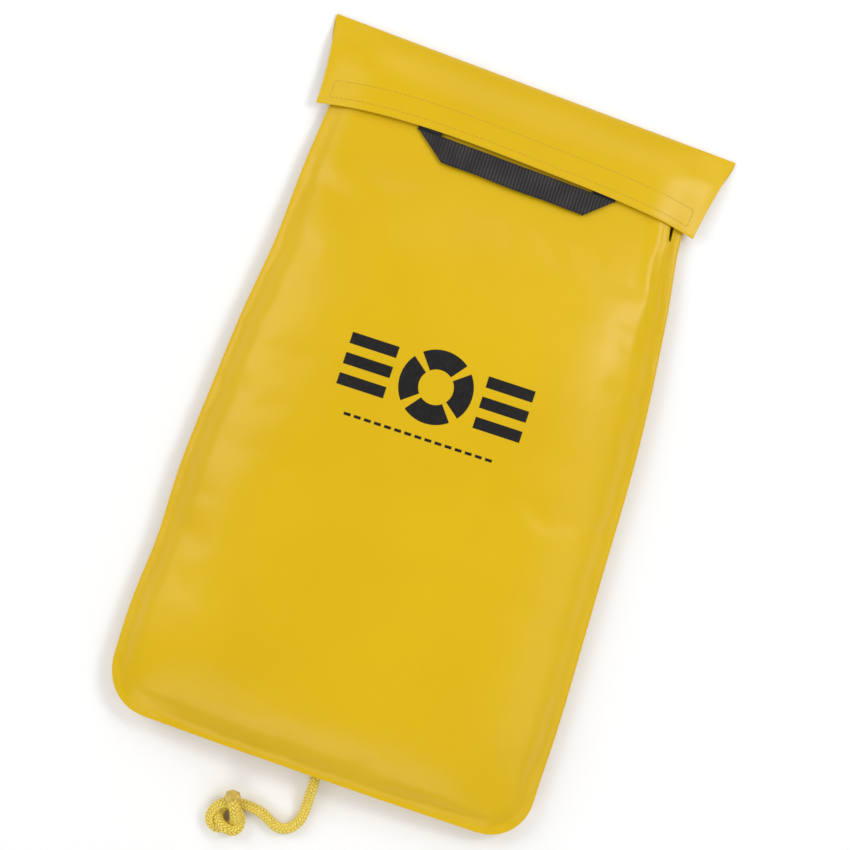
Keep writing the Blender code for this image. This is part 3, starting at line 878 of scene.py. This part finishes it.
def strand_rings(line, frames, spacing, number, way):
    """Rings of one strand of the braid, and for each point a number for painted light: high where it stands out
    on top, and painted shade where it dives and at its sides.
    It winds one way round, and passes over two and under two of the strands that wind the other way."""
    rings, painted_shades = [], []
    lean = way * 2 * math.pi * BRAID_RADIUS / BRAID_PITCH
    for i, (place, (side, up)) in enumerate(zip(line, frames)):
        along = i * spacing
        turn = way * 2 * math.pi * along / BRAID_PITCH + 2 * math.pi * number / STRANDS
        crossing = 2 * STRANDS * along / BRAID_PITCH
        weave = way * math.cos(math.pi / 2 * (way * crossing + 2 * number - 0.5))
        outward = side * math.cos(turn) + up * math.sin(turn)
        around = up * math.cos(turn) - side * math.sin(turn)
        across = (around - side.cross(up) * lean).normalized()
        centre = place + outward * (BRAID_RADIUS + BRAID_WEAVE * weave)
        ring = []
        for j in range(STRAND_SIDES):
            angle = 2 * math.pi * j / STRAND_SIDES
            wide = across * (math.cos(angle) * STRAND_WIDTH / 2)
            ring.append(centre + wide + outward * (math.sin(angle) * STRAND_THICKNESS / 2))
            # Painted shade: the number falls where the strand dives under and towards its two sides.
            painted_shades.append(clamp(0.5 + 0.42 * weave) * (1 - 0.45 * abs(math.cos(angle))))
        rings.append(ring)
    return rings, painted_shades


def braided_rope(name, line, yarn, core):
    """A braid of strands wound both ways round a core, along a line."""
    line = evenly(line, BRAID_STEP)
    spacing = line_length(line) / (len(line) - 1)
    frames = moving_frames(line)
    points, faces, painted_shades = [], [], []
    for way in (1, -1):
        for number in range(STRANDS):
            rings, more = strand_rings(line, frames, spacing, number, way)
            tube_rings(rings, points, faces)
            painted_shades += more
    yarn_faces = len(faces)
    turns = [2 * math.pi * j / CORE_SIDES for j in range(CORE_SIDES)]
    core_rings = []
    for place, (side, up) in list(zip(line, frames))[::3]:
        core_rings.append([place + (side * math.cos(a) + up * math.sin(a)) * CORE_RADIUS for a in turns])
    tube_rings(core_rings, points, faces)
    made = mesh_of(name, points, faces, yarn)
    store_relief(made, painted_shades + [0.0] * (len(points) - len(painted_shades)))
    made.data.materials.append(core)
    for polygon in made.data.polygons[yarn_faces:]:
        polygon.material_index = 1
    return made


def tail_line():
    """The tail's centre line: from the inner knot, out of the eyelet, over the floor and round the knot."""
    reach = (INNER_KNOT_HIGH.y - INNER_KNOT_LOW.y) / 2
    start = INNER_KNOT - Vector((0.0, reach - 0.002, 0.0))
    straight = [start, start.lerp(EYELET, 0.5), EYELET]
    return smooth_line(straight + [from_fold(*p) for p in TAIL_ROUTE + KNOT_ROUTE], LINE_STEP)


def inner_knot_line():
    """A small tight overhand knot: a trefoil that is open at one lobe."""
    points = []
    for k in range(41):
        t = math.pi + 0.45 + (2 * math.pi - 0.9) * k / 40
        right = 0.0026 * (math.sin(t) + 2 * math.sin(2 * t))
        along = 0.0026 * (math.cos(t) - 2 * math.cos(2 * t))
        points.append(INNER_KNOT + Vector((right, -along - 0.0008, 0.0034 * math.sin(3 * t))))
    return points


def melted_end(line, melted):
    """The sealed end: the yarn melted into a rough mushroom a little wider than the rope."""
    bm = bmesh.new()
    bmesh.ops.create_icosphere(bm, subdivisions=5, radius=1.0)
    for vert in bm.verts:
        lump = 1 + 0.13 * noise.noise(vert.co * 1.9) + 0.06 * noise.noise(vert.co * 5.0)
        lump += 0.02 * noise.noise(vert.co * 14.0)
        waist = 1.0 if vert.co.z > 0 else 1 - 0.22 * vert.co.z**2
        wide, deep, long = MELTED_RADII
        vert.co = Vector((vert.co.x * wide * waist, vert.co.y * deep * waist, vert.co.z * long)) * lump
    turn = (line[-1] - line[-5]).to_track_quat("Z", "Y").to_matrix().to_4x4()
    bmesh.ops.transform(bm, verts=bm.verts, matrix=Matrix.Translation(line[-1]) @ turn)
    mesh = bpy.data.meshes.new("melted_rope_tip")
    bm.to_mesh(mesh)
    bm.free()
    mesh.shade_smooth()
    made = add_object("melted_rope_tip", mesh, melted)
    stand_for(made, "rope_end", "rope")
    return made


def add_tail(yarn, core, melted):
    line = tail_line()
    rope = braided_rope("rope_tail_braid", line, yarn, core)
    stand_for(rope, "rope_end", "rope", "rope_tail", "stopper_knot")
    end = melted_end(line, melted)
    inner = braided_rope("inner_knot_braid", smooth_line(inner_knot_line(), LINE_STEP), yarn, core)
    stand_for(inner, "rope_end", "rope", "inner_knot")
    line_length(line)
    evenly(line, 0.003)


# ---------------------------------------------------------------- the line inside the bag
# Flat layers of oval turns, each as (height, half width, mouth end, foot end).
COIL_LAYERS = (
    (0.0138, 0.1120, 0.158, 0.486),
    (0.0214, 0.1060, 0.172, 0.474),
    (0.0290, 0.0940, 0.196, 0.456),
    (0.0362, 0.0700, 0.240, 0.424),
)
COIL_PITCH = 0.0086
COIL_TIGHTEST = 0.0095
COIL_STEPS = 56


def oval_turns(layer, outward, further=0.0):
    """The flat oval turns of one layer, from the foot end: inwards, or outwards and a part turn further."""
    height, half, top, foot = layer
    turns = int((half - COIL_TIGHTEST) / COIL_PITCH)
    middle, straight = (top + foot) / 2, (foot - top) / 2 - half
    points = []
    for k in range(-round(further * COIL_STEPS), turns * COIL_STEPS):
        angle = math.pi + 2 * math.pi * k / COIL_STEPS
        radius = half - COIL_PITCH * k / COIL_STEPS
        across = radius * math.sin(angle)
        down = middle - radius * math.cos(angle) - straight * math.copysign(1.0, math.cos(angle))
        wobble = 0.0013 * noise.noise(Vector((across * 26, down * 26, height * 300)))
        points.append(Vector((*plan(across + wobble, down - wobble), height)))
    return points[::-1] if outward else points


def add_stored_line(yarn, braid, core):
    """The line stuffed in the bag, in one piece from the knot inside the eyelet to the thrower's loop."""
    start = INNER_KNOT + Vector((0.0, 0.0090, 0.0))
    lead_in = [start, start + Vector((0.006, 0.010, 0.0008)), start + Vector((0.020, 0.021, 0.0018))]
    route = list(lead_in)
    for number, layer in enumerate(COIL_LAYERS):
        last = number == len(COIL_LAYERS) - 1
        route += oval_turns(layer, number % 2 == 1, 0.5 if last else 0.0)
    loop_line = [from_fold(*p) for p in HAND_LOOP_ROUTE]
    lead_out = [route[-1], from_fold(-0.020, 0.222, 0.0350), from_fold(-0.030, 0.196, 0.0240)]
    lead_out += [from_fold(-0.030, 0.178, 0.0152), loop_line[0] + Vector((-0.001, -0.008, 0.0015))]
    line = evenly(route + smooth_line(lead_out, 0.004)[1:], 0.005)
    curve = bpy.data.curves.new("stored_line", "CURVE")
    curve.dimensions = "3D"
    curve.bevel_depth = ROPE_DIAMETER / 2
    curve.bevel_resolution = 3
    curve.use_fill_caps = True
    spline = curve.splines.new("POLY")
    spline.points.add(len(line) - 1)
    for point, place in zip(spline.points, line):
        point.co = (*place, 1.0)
    made = add_object("stored_line", curve, yarn)
    stand_for(made, "bag_body", "rope", "rope_hank")
    loop = braided_rope("hand_loop_braid", smooth_line(loop_line, 0.0015), braid, core)
    stand_for(loop, "bag_body", "rope", "hand_loop")
    line_length(line)


# ---------------------------------------------------------------- the bag's two panels
# Where the rows beside the rim lie, in from the outline: close together at the weld, then wider and wider.
WELD_INSETS = (0.0, 0.0008, FLANGE, 0.0024, 0.0033, 0.0044, 0.0055, 0.0067, SLIT_INSET, 0.0086)
EDGE_INSETS = (*WELD_INSETS, 0.0100, 0.0115, 0.0132, 0.0152, 0.0175, 0.0205, 0.0240, 0.0285)
CELL = 0.0036
SETTLE_FRAMES = 22
SETTLE_CAP = 0.006
SETTLE_SHARE = 0.42


def columns_at(down):
    """Places across the bag, close together near the rim, and the same number at every distance down."""
    width = half_width(down)
    count = round((FOOT_HALF_WIDTH - EDGE_INSETS[-1]) / CELL)
    inner = [(width - EDGE_INSETS[-1]) * k / count for k in range(count + 1)]
    right = inner + [width - d for d in EDGE_INSETS[-2::-1]]
    return [-a for a in right[:0:-1]] + right


def downs_from(start):
    steps = round((FOOT_START - start) / CELL)
    straight = [start + (FOOT_START - start) * k / steps for k in range(steps)]
    return straight + [FOOT_START, BAG_LENGTH - 0.0325] + [BAG_LENGTH - d for d in EDGE_INSETS[::-1]]


def settle(panel, pinned):
    """Lets the coated cloth find its own shape. It is a little larger than the space that it is welded into,
    so it buckles softly, held at its welds. No point may move further than the cap, and the stiff coating
    leaves only a share of that."""
    before = np.array([v.co for v in panel.data.vertices])
    group = panel.vertex_groups.new(name="held")
    for index, weight in enumerate(pinned):
        group.add([index], weight, "REPLACE")
    cloth = panel.modifiers.new("settle", "CLOTH")
    settings = cloth.settings
    settings.quality = 6
    settings.mass = 0.35
    settings.air_damping = 6.0
    settings.tension_stiffness = 45.0
    settings.compression_stiffness = 45.0
    settings.shear_stiffness = 25.0
    settings.bending_stiffness = 5.0
    settings.tension_damping = 20.0
    settings.compression_damping = 20.0
    settings.shear_damping = 20.0
    settings.bending_damping = 1.0
    settings.use_pressure = True
    settings.uniform_pressure_force = 1.0
    settings.vertex_group_mass = "held"
    settings.pin_stiffness = 1.0
    settings.shrink_min = -0.006
    settings.effector_weights.gravity = 0.0
    cloth.collision_settings.use_collision = False
    cloth.point_cache.frame_start = 1
    cloth.point_cache.frame_end = SETTLE_FRAMES
    scene = bpy.context.scene
    for number in range(1, SETTLE_FRAMES + 1):
        scene.frame_set(number)
    apply_modifiers(panel)
    scene.frame_set(1)
    moved = np.array([v.co for v in panel.data.vertices]) - before
    far = np.linalg.norm(moved, axis=1, keepdims=True)
    moved *= SETTLE_SHARE * np.minimum(1.0, SETTLE_CAP / np.maximum(far, 1e-9))
    panel.data.vertices.foreach_set("co", (before + moved).astype(np.float32).ravel())
    panel.data.update()


def add_front_panel(cloth):
    places, points = [], []
    downs = downs_from(MOUTH_DOWN)
    for down in downs:
        for across in columns_at(down):
            aside, lifted = slit_place(across, down)
            places.append((across, down))
            points.append((*plan(aside, down), front_height(across, down) + lifted))
    columns = len(columns_at(MOUTH_DOWN))
    cut = columns - 1 - EDGE_INSETS.index(SLIT_INSET)
    faces = []
    for face in grid_faces(len(downs), columns):
        row, column = divmod(face[0], columns)
        if not (column == cut - 1 and downs[row + 1] < SLIT_DOWN):
            faces.append(face)
    panel = mesh_of("front_panel_cloth", points, faces, cloth)
    pinned = []
    for across, down in places:
        free = smooth((inset(across, down) - FLANGE) / 0.004) * smooth((down - 0.085) / 0.03)
        pinned.append(1.0 - free)
    settle(panel, pinned)
    for vert, (across, down) in zip(panel.data.vertices, places):
        vert.co.z += pucker(across, down) * smooth((down - 0.075) / 0.02)
        vert.co.z += long_crease(across, down) + soft_folds(across, down)
    thicken(panel, CLOTH)
    stand_for(panel, "bag_body", "coated_fabric", "front_panel")
    return panel


def add_hem(cloth):
    """The mouth's edge is folded in and welded down: a round edge, and a second layer inside."""
    rows = []
    for share, drop in ((0.0, 0.0), (0.15, -0.0006), (0.5, -0.0010), (0.85, -0.0014), (1.0, -0.0021)):
        rows.append((MOUTH_DOWN - 0.0008 * math.sin(math.pi * share), drop))
    rows += [(MOUTH_DOWN + (HEM_DOWN - MOUTH_DOWN) * k / 6, -0.0022) for k in range(1, 7)]
    width = half_width(MOUTH_DOWN) - 0.007
    grid = []
    for down, drop in rows:
        places = [width * (2 * k / 90 - 1) for k in range(91)]
        grid.append([(*plan(a, down), front_height(a, max(down, MOUTH_DOWN)) + drop) for a in places])
    hem = sheet_from_rows("mouth_hem_fold", cloth, grid, 0.0007, flip=True)
    stand_for(hem, "bag_body", "coated_fabric", "mouth_hem")
    return hem


def back_place(across, down):
    """Where the back panel's places lie: at the fold it runs out to the flap's full width."""
    flare = 1 - smooth(down / 0.072)
    width = half_width(down) + (FLAP_FOLD_HALF_WIDTH - MOUTH_HALF_WIDTH) * flare
    x, y = plan(across * width / half_width(down), down)
    return x - (TOP_SHIFT + LEAN * down) * flare, y


def steep_share(place):
    for (near, high), (far, low) in zip(STEEP_WALL, STEEP_WALL[1:]):
        if near <= place < far:
            return high + (low - high) * (place - near) / (far - near)
    return 0.0


def back_height(across, down):
    """The outer face of the back panel: flat on the ground, rolling up to the weld at the rim. The wall is
    steep beside the eyelet and at the slit."""
    place = inset(across, down)
    steep = math.exp(-(((across - EYELET_ACROSS) / 0.024) ** 4))
    steep *= smooth((down - BAG_LENGTH + 0.045) / 0.02)
    if across > 0:
        steep = max(steep, smooth((SLIT_DOWN + 0.020 - down) / 0.016))
    gentle_share = (1 - clamp((place - FLANGE) / 0.030)) ** 1.6
    rim = max(rim_height(across, down) - 0.0004, 0.0)
    return rim * (steep_share(place) * steep + gentle_share * (1 - steep))


def add_back_panel(cloth):
    downs = [0.0100, 0.0125, 0.0160, 0.0190] + downs_from(MOUTH_DOWN)
    rows = []
    for down in downs:
        rows.append([(*back_place(a, down), back_height(a, down)) for a in columns_at(down)])
    panel = sheet_from_rows("back_panel_cloth", cloth, rows, CLOTH, flip=True)
    cut_rope_hole(panel)
    stand_for(panel, "bag_body", "coated_fabric", "back_panel")
    return panel


def cut_rope_hole(panel):
    """The round hole for the eyelet, in the wall at the bottom end."""
    bm = bmesh.new()
    radius = ROPE_HOLE_RADIUS
    bmesh.ops.create_cone(bm, cap_ends=True, segments=48, radius1=radius, radius2=radius, depth=0.020)
    turn = Matrix.Translation(EYELET) @ Matrix.Rotation(math.radians(90), 4, "X")
    bmesh.ops.transform(bm, verts=bm.verts, matrix=turn)
    mesh = bpy.data.meshes.new("rope_hole_cutter")
    bm.to_mesh(mesh)
    bm.free()
    cutter = add_object("rope_hole_cutter", mesh, None)
    hole = panel.modifiers.new("rope_hole", "BOOLEAN")
    hole.operation = "DIFFERENCE"
    hole.solver = "EXACT"
    hole.object = cutter
    apply_modifiers(panel)
    sharpen(panel)
    bpy.data.objects.remove(cutter)
    bpy.data.meshes.remove(mesh)


# ---------------------------------------------------------------- the flap and its closure
FOLD_RADIUS = 0.0014
FOLD_START = 0.0012
SEAM_INSET = 0.0015
STITCH_PITCH = 0.0035
SEAM_THREAD = 0.00030
TACK_THREAD = 0.00032


def flap_rows():
    """Rows of the flap's outer face: a strip under the bag, the round fold, and the flap to its edge."""
    rows = []
    shares = [k / 60 for k in range(-60, 61)]
    columns = [math.copysign(abs(share) ** 0.9, share) for share in shares]
    for down in (0.0098, 0.0075, 0.0050, 0.0030):
        rows.append([(*back_place(c * half_width(down), down), 0.0) for c in columns])
    for degrees in (-90, -115, -140, -165, -190, -215):
        turn = math.radians(degrees)
        down = 0.0016 + FOLD_RADIUS * math.cos(turn)
        height = FOLD_RADIUS * (1 + math.sin(turn))
        rows.append([(FOLD_X + c * FLAP_FOLD_HALF_WIDTH, FOLD_Y - down, height) for c in columns])
    for share in [(k / 34) ** 1.15 for k in range(1, 34)] + [0.980, 0.987, 0.993, 0.997, 1.0]:
        half = flap_half_width(share)
        lip = 0.0006 * clamp(1 - (1 - share) / 0.020) ** 2
        row = []
        for c in columns:
            right = c * half
            place = flap_place(right, FOLD_START + share * (flap_edge_down(right) - FOLD_START))
            row.append((*plan(*place), flap_height(*place) + CLOTH - lip))
        rows.append(row)
    return rows


def ride_flap(flap):
    """Makes the flap's place part of its mesh, and hides the model's flap in its stead."""
    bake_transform(flap)
    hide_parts("closing_flap")


def add_loop_tape(loops):
    """The loop tape's fluffy mat, on the front panel under the flap."""
    top, bottom = LOOP_TAPE_DOWN

    def place(i, j):
        down = top + (bottom - top) * i / 20
        across = TAPE_HALF_WIDTH * (2 * j / 260 - 1)
        fuzz = 0.00018 * noise.noise(Vector((across * 900, down * 900, 0.0)))
        return *plan(across, down), front_height(across, down) + LOOP_TAPE_LIFT + fuzz

    loop = sheet_from_rows("loop_tape_pile", loops, grid_of(21, 261, place), TAPE)
    stand_for(loop, "bag_body", "closure_tape", "loop_tape")


def add_hook_tape(hooks):
    """The hook tape's stiff rows, under the flap's edge."""
    low, high = HOOK_TAPE_UP

    def place(i, j):
        right = HOOK_TAPE_HALF_WIDTH * (2 * j / 280 - 1)
        spot = flap_place(right, flap_edge_down(right) - high + (high - low) * i / 16)
        stand = 0.00015 * (1 + math.cos(math.pi * j)) * (1 if i % 2 else -1)
        return *plan(*spot), flap_height(*spot) - HOOK_TAPE_DROP + stand

    hook = sheet_from_rows("hook_tape_rows", hooks, grid_of(17, 281, place), HOOK_TAPE, flip=True)
    stand_for(hook, "flap", "closure_tape", "hook_tape")


def add_seam(thread, flap):
    """The line of lockstitches round the hook tape, on the flap's outer face."""
    cover = Cover(flap)
    low, high = HOOK_TAPE_UP[0] + SEAM_INSET, HOOK_TAPE_UP[1] - SEAM_INSET
    half = HOOK_TAPE_HALF_WIDTH - SEAM_INSET
    corners = [(-half, high), (half, high), (half, low), (-half, low), (-half, high)]
    points, faces = [], []
    for (from_right, from_up), (to_right, to_up) in zip(corners, corners[1:]):
        length = math.hypot(to_right - from_right, to_up - from_up)
        count = round(length / STITCH_PITCH)
        for k in range(count):
            ends = []
            for t in ((k + 0.12) / count, (k + 0.88) / count):
                right = from_right + (to_right - from_right) * t
                up = from_up + (to_up - from_up) * t
                x, y = plan(*flap_place(right, flap_edge_down(right) - up))
                ends.append(Vector((x, y, cover.height(x, y))))
            thread_stitch(*ends, SEAM_THREAD, points, faces)
    seam = mesh_of("flap_seam_stitches", points, faces, thread)
    stand_for(seam, "flap", "thread", "flap_stitching")


# ---------------------------------------------------------------- the handle
RIB_PITCH = 0.0026
RIB_HEIGHT = 0.00042
YARN_HEIGHT = 0.00014
YARN_PITCH = 0.0013
BAND_STEP = RIB_PITCH / 10
BAND_ROWS = 31
GRIP_LIFT = 0.0013
GRIP_SLACK = 0.0010
FOLD_ROUNDING = 0.0010
LEG_OVERLAP = 0.0012
# Two distances up the bag from the handle's pivot; add_leg makes places of them and uses them no further.
LEG_BEND = (0.0022, -0.0006)


def webbing_relief(along, aside):
    """From 0 to 1: ribs across a woven band, each with the twist of its yarn, and a thin selvedge."""
    rib = abs(math.sin(math.pi * along / RIB_PITCH)) ** 0.8
    shift = 0.5 * (math.floor(along / RIB_PITCH) % 2)
    yarn = 0.5 + 0.5 * math.cos(2 * math.pi * (aside / YARN_PITCH + shift + along / RIB_PITCH * 0.5))
    edge = clamp((WEBBING_WIDTH / 2 - abs(aside)) / 0.0014)
    wear = 0.85 + 0.3 * noise.noise(Vector((along * 90, aside * 60, 0.0)))
    return clamp(rib * (0.45 + 0.55 * yarn) * (0.45 + 0.55 * edge) * wear)


def woven_band(name, surface, rows, thickness=WEBBING):
    """A woven band from rows of places on its face, each as (x, y, height without relief, relief)."""
    lift = RIB_HEIGHT + YARN_HEIGHT
    points = [(x, y, z + lift * relief) for row in rows for x, y, z, relief in row]
    band = mesh_of(name, points, grid_faces(len(rows), len(rows[0])), surface)
    store_relief(band, [place[3] for row in rows for place in row])
    return thicken(band, thickness)


def add_handle(webbing, thread, front):
    """The grip across the bag, its ends folded at a slant, and the two legs that go up under the flap."""
    cover = Cover(front)
    full = HANDLE_HALF
    count = round(2 * full / BAND_STEP)

    def place(i, j):
        share = i / (BAND_ROWS - 1)
        left, right = HANDLE_FOLDS[0] * share - full, full - HANDLE_FOLDS[1] * share
        across = left + (right - left) * j / count
        sag = 0.0005 * noise.noise(Vector((across * 38, 1.5, 0.0))) * smooth((full - abs(across)) / 0.02)
        x, y = plan(HANDLE_ACROSS + across, HANDLE_TOP + WEBBING_WIDTH * share + sag * (0.3 + share))
        slack = GRIP_SLACK * (1 - (across / full) ** 2)
        rounding = FOLD_ROUNDING * math.exp(-min(across - left, right - across) / 0.0008)
        height = cover.even_height(x, y) + slack + WEBBING + GRIP_LIFT - rounding
        return x, y, height, webbing_relief(across + full, WEBBING_WIDTH * (share - 0.5))

    grip = woven_band("grab_handle_webbing", webbing, grid_of(BAND_ROWS, count + 1, place))
    stand_for(grip, "handle", "webbing", "grab_handle")
    for side, sign in (("left", -1), ("right", 1)):
        centre = HANDLE_ACROSS + sign * (full - WEBBING_WIDTH / 2)
        add_leg(side, centre, webbing, cover)
        add_tack(side, centre, thread, cover)
        add_tuck(side, sign, webbing, cover)


def add_leg(side, centre, webbing, cover):
    """One end of the webbing, from its bar tack under the flap to where the grip turns."""
    length = HANDLE_PIVOT_DOWN + LEG_OVERLAP - LEG_TOP_DOWN
    count = round(length / BAND_STEP)

    def place(i, j):
        down = LEG_TOP_DOWN + length * i / count
        aside = WEBBING_WIDTH * (j / (BAND_ROWS - 1) - 0.5)
        x, y = plan(centre + aside, down)
        height = cover.even_height(x, y, 0.003) + WEBBING + 0.0001
        return x, y, height, webbing_relief(down, aside)

    leg = woven_band(f"handle_leg_{side}_webbing", webbing, grid_of(count + 1, BAND_ROWS, place))
    pivot = joint_place("handle_lift")
    start, end = [(pivot.x, pivot.y + distance, pivot.z) for distance in LEG_BEND]
    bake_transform(leg)
    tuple(start)
    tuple(end)
    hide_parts(f"handle_leg_{side}")


def add_tuck(side, sign, webbing, cover):
    """The leg's own layer under the folded end of the grip: a triangle between the fold and the leg."""
    fold = HANDLE_FOLDS[0 if sign < 0 else 1]

    def place(i, j):
        share = i / (BAND_ROWS - 1)
        outer = HANDLE_HALF - fold * share - 0.0006
        inner = HANDLE_HALF - WEBBING_WIDTH - (fold - WEBBING_WIDTH) * share - 0.0012
        down = HANDLE_TOP + WEBBING_WIDTH * share
        x, y = plan(HANDLE_ACROSS + sign * (outer + (inner - outer) * j / 30), down)
        return x, y, cover.even_height(x, y) + WEBBING, webbing_relief(down, 0.0)

    rows = [row[::-sign] for row in grid_of(BAND_ROWS, 31, place)]
    tuck = woven_band(f"handle_tuck_{side}_webbing", webbing, rows, WEBBING * 0.9)
    stand_for(tuck, "handle", "webbing")


def add_tack(side, centre, thread, cover):
    """A bar tack: close zigzag stitches across the leg."""
    points, faces = [], []
    near, far = TACK_DOWN
    half = WEBBING_WIDTH / 2 - 0.002
    for k in range(TACK_STITCHES):
        a = centre - half + 2 * half * k / TACK_STITCHES
        b = centre - half + 2 * half * (k + 1) / TACK_STITCHES
        ends = []
        for across, down in ((a, near if k % 2 else far), (b, far if k % 2 else near)):
            x, y = plan(across, down)
            ends.append(Vector((x, y, cover.even_height(x, y, 0.003) + WEBBING + 0.0006)))
        thread_stitch(*ends, TACK_THREAD, points, faces)
    tack = mesh_of(f"handle_tack_{side}_stitches", points, faces, thread)
    stand_for(tack, "bag_body", "thread", f"handle_tack_{side}")


# ---------------------------------------------------------------- the print
PRINT_CENTRE = (0.0085, 0.2445)
PRINT_TURN = math.radians(2.4)
PRINT_THICKNESS = 0.00012
PRINT_LIFT = PRINT_THICKNESS + 0.00005
RING_RADII = (0.0135, 0.0285)
RING_GAP = math.radians(7)
BAR_FROM, BAR_TO = 0.0355, 0.0725
BAR_WIDTH, BAR_SPACING = 0.0088, 0.0160
RULE_OFFSET, RULE_WIDTH, RULE_HALF = 0.0400, 0.0022, 0.0600
DASHES = 15


def bar(right0, right1, down0, down1, cell=0.0022):
    columns = max(2, math.ceil((right1 - right0) / cell) + 1)
    lines = max(2, math.ceil((down1 - down0) / cell) + 1)

    def place(i, j):
        return right0 + (right1 - right0) * j / (columns - 1), down0 + (down1 - down0) * i / (lines - 1)

    return grid_of(lines, columns, place)


def ring_part(start, end):
    inner, outer = RING_RADII

    def place(i, j):
        radius, turn = inner + (outer - inner) * i / 8, end + (start - end) * j / 22
        return radius * math.cos(turn), radius * math.sin(turn)

    return grid_of(9, 23, place)


def add_print(ink, front):
    """A plain pictogram of a life ring between bars, with a dashed rule below."""
    cover = Cover(front)
    shapes = []
    for k in range(4):
        start = math.pi / 4 + k * math.pi / 2 + RING_GAP
        shapes.append(ring_part(start, start + math.pi / 2 - 2 * RING_GAP))
    for sign in (-1, 1):
        for k in (-1, 0, 1):
            ends = sorted((sign * BAR_FROM, sign * BAR_TO))
            middle = k * BAR_SPACING
            shapes.append(bar(*ends, middle - BAR_WIDTH / 2, middle + BAR_WIDTH / 2))
    for k in range(DASHES):
        left = -RULE_HALF + 2 * RULE_HALF * k / DASHES
        right = left + 2 * RULE_HALF / DASHES * 0.66
        shapes.append(bar(left, right, RULE_OFFSET - RULE_WIDTH / 2, RULE_OFFSET + RULE_WIDTH / 2, 0.0015))
    c, s = math.cos(PRINT_TURN), math.sin(PRINT_TURN)
    meshes = []
    for rows in shapes:
        points = []
        for row in rows:
            for right, down in row:
                x = FOLD_X + PRINT_CENTRE[0] + right * c + down * s
                y = FOLD_Y - PRINT_CENTRE[1] + right * s - down * c
                points.append(Vector((x, y, cover.height(x, y) + PRINT_LIFT)))
        meshes.append((points, grid_faces(len(rows), len(rows[0]))))
    ink_layer = thicken(join("printed_pictogram", meshes, ink), PRINT_THICKNESS * 0.9)
    stand_for(ink_layer, "bag_body", "coated_fabric")


# ---------------------------------------------------------------- the float
FOAM_SIDE_GAP = 0.005
FOAM_EDGE_TOP = 0.0056
FOAM_CROWN = 0.0034
FOAM_SKIN = 0.0040
FOAM_UNDERSIDE = 0.0014


def add_foam(surface):
    """The foam sheet that keeps the bag afloat, with rounded edges and a slightly uneven face."""
    low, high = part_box("foam_float")
    middle = (low + high) / 2
    half_x, half_y = (high.x - low.x) / 2 - FOAM_SIDE_GAP, (high.y - low.y) / 2
    columns, rows = 44, 60

    def place(i, j):
        v = math.sin(math.pi / 2 * (2 * i / rows - 1))
        u = math.sin(math.pi / 2 * (2 * j / columns - 1))
        corner = 1 - 0.035 * (u * v) ** 4
        x = middle.x + u * half_x * corner - LEAN * v * half_y
        y = middle.y - v * half_y * corner
        edge = (1 - abs(u) ** 14) * (1 - abs(v) ** 18)
        uneven = 0.0002 * noise.noise(Vector((x * 60, y * 60, 0.0)))
        return x, y, FOAM_EDGE_TOP + FOAM_CROWN * edge + uneven

    grid = grid_of(rows + 1, columns + 1, place)
    foam = sheet_from_rows("foam_float_sheet", surface, grid, FOAM_SKIN)
    for vert in foam.data.vertices:
        if vert.co.z < FOAM_EDGE_TOP - 0.0002:
            vert.co.z = max(FOAM_UNDERSIDE, vert.co.z - 0.0036)
    stand_for(foam, "bag_body", "foam", "foam_float")


def finish_metal(surface):
    """The nickel eyelet and its washer are the model's own, in a better material."""
    for name in ("rope_eyelet", "eyelet_washer"):
        for slot in frame["nodes"][name].material_slots:
            slot.material = surface


def main():
    add_camera()
    yarn, core, cloth, thread = rope_yarn(), rope_core(), coated_cloth(), thread_cloth()
    add_tail(yarn, core, melted_yarn())
    add_stored_line(stored_rope_yarn(), yarn, core)
    add_studio()
    front = add_front_panel(cloth)
    hem = add_hem(cloth)
    back = add_back_panel(cloth)
    flap = sheet_from_rows("closing_flap_cloth", cloth, flap_rows(), CLOTH * 0.95)
    loops, hooks = closure_cloth("loop_tape_mat", False), closure_cloth("hook_tape_mat", True)
    add_loop_tape(loops)
    add_hook_tape(hooks)
    add_seam(thread, flap)
    ride_flap(flap)
    add_handle(webbing_cloth(), thread, front)
    add_print(print_ink(), front)
    add_foam(foam_skin())
    finish_metal(nickel())


main()
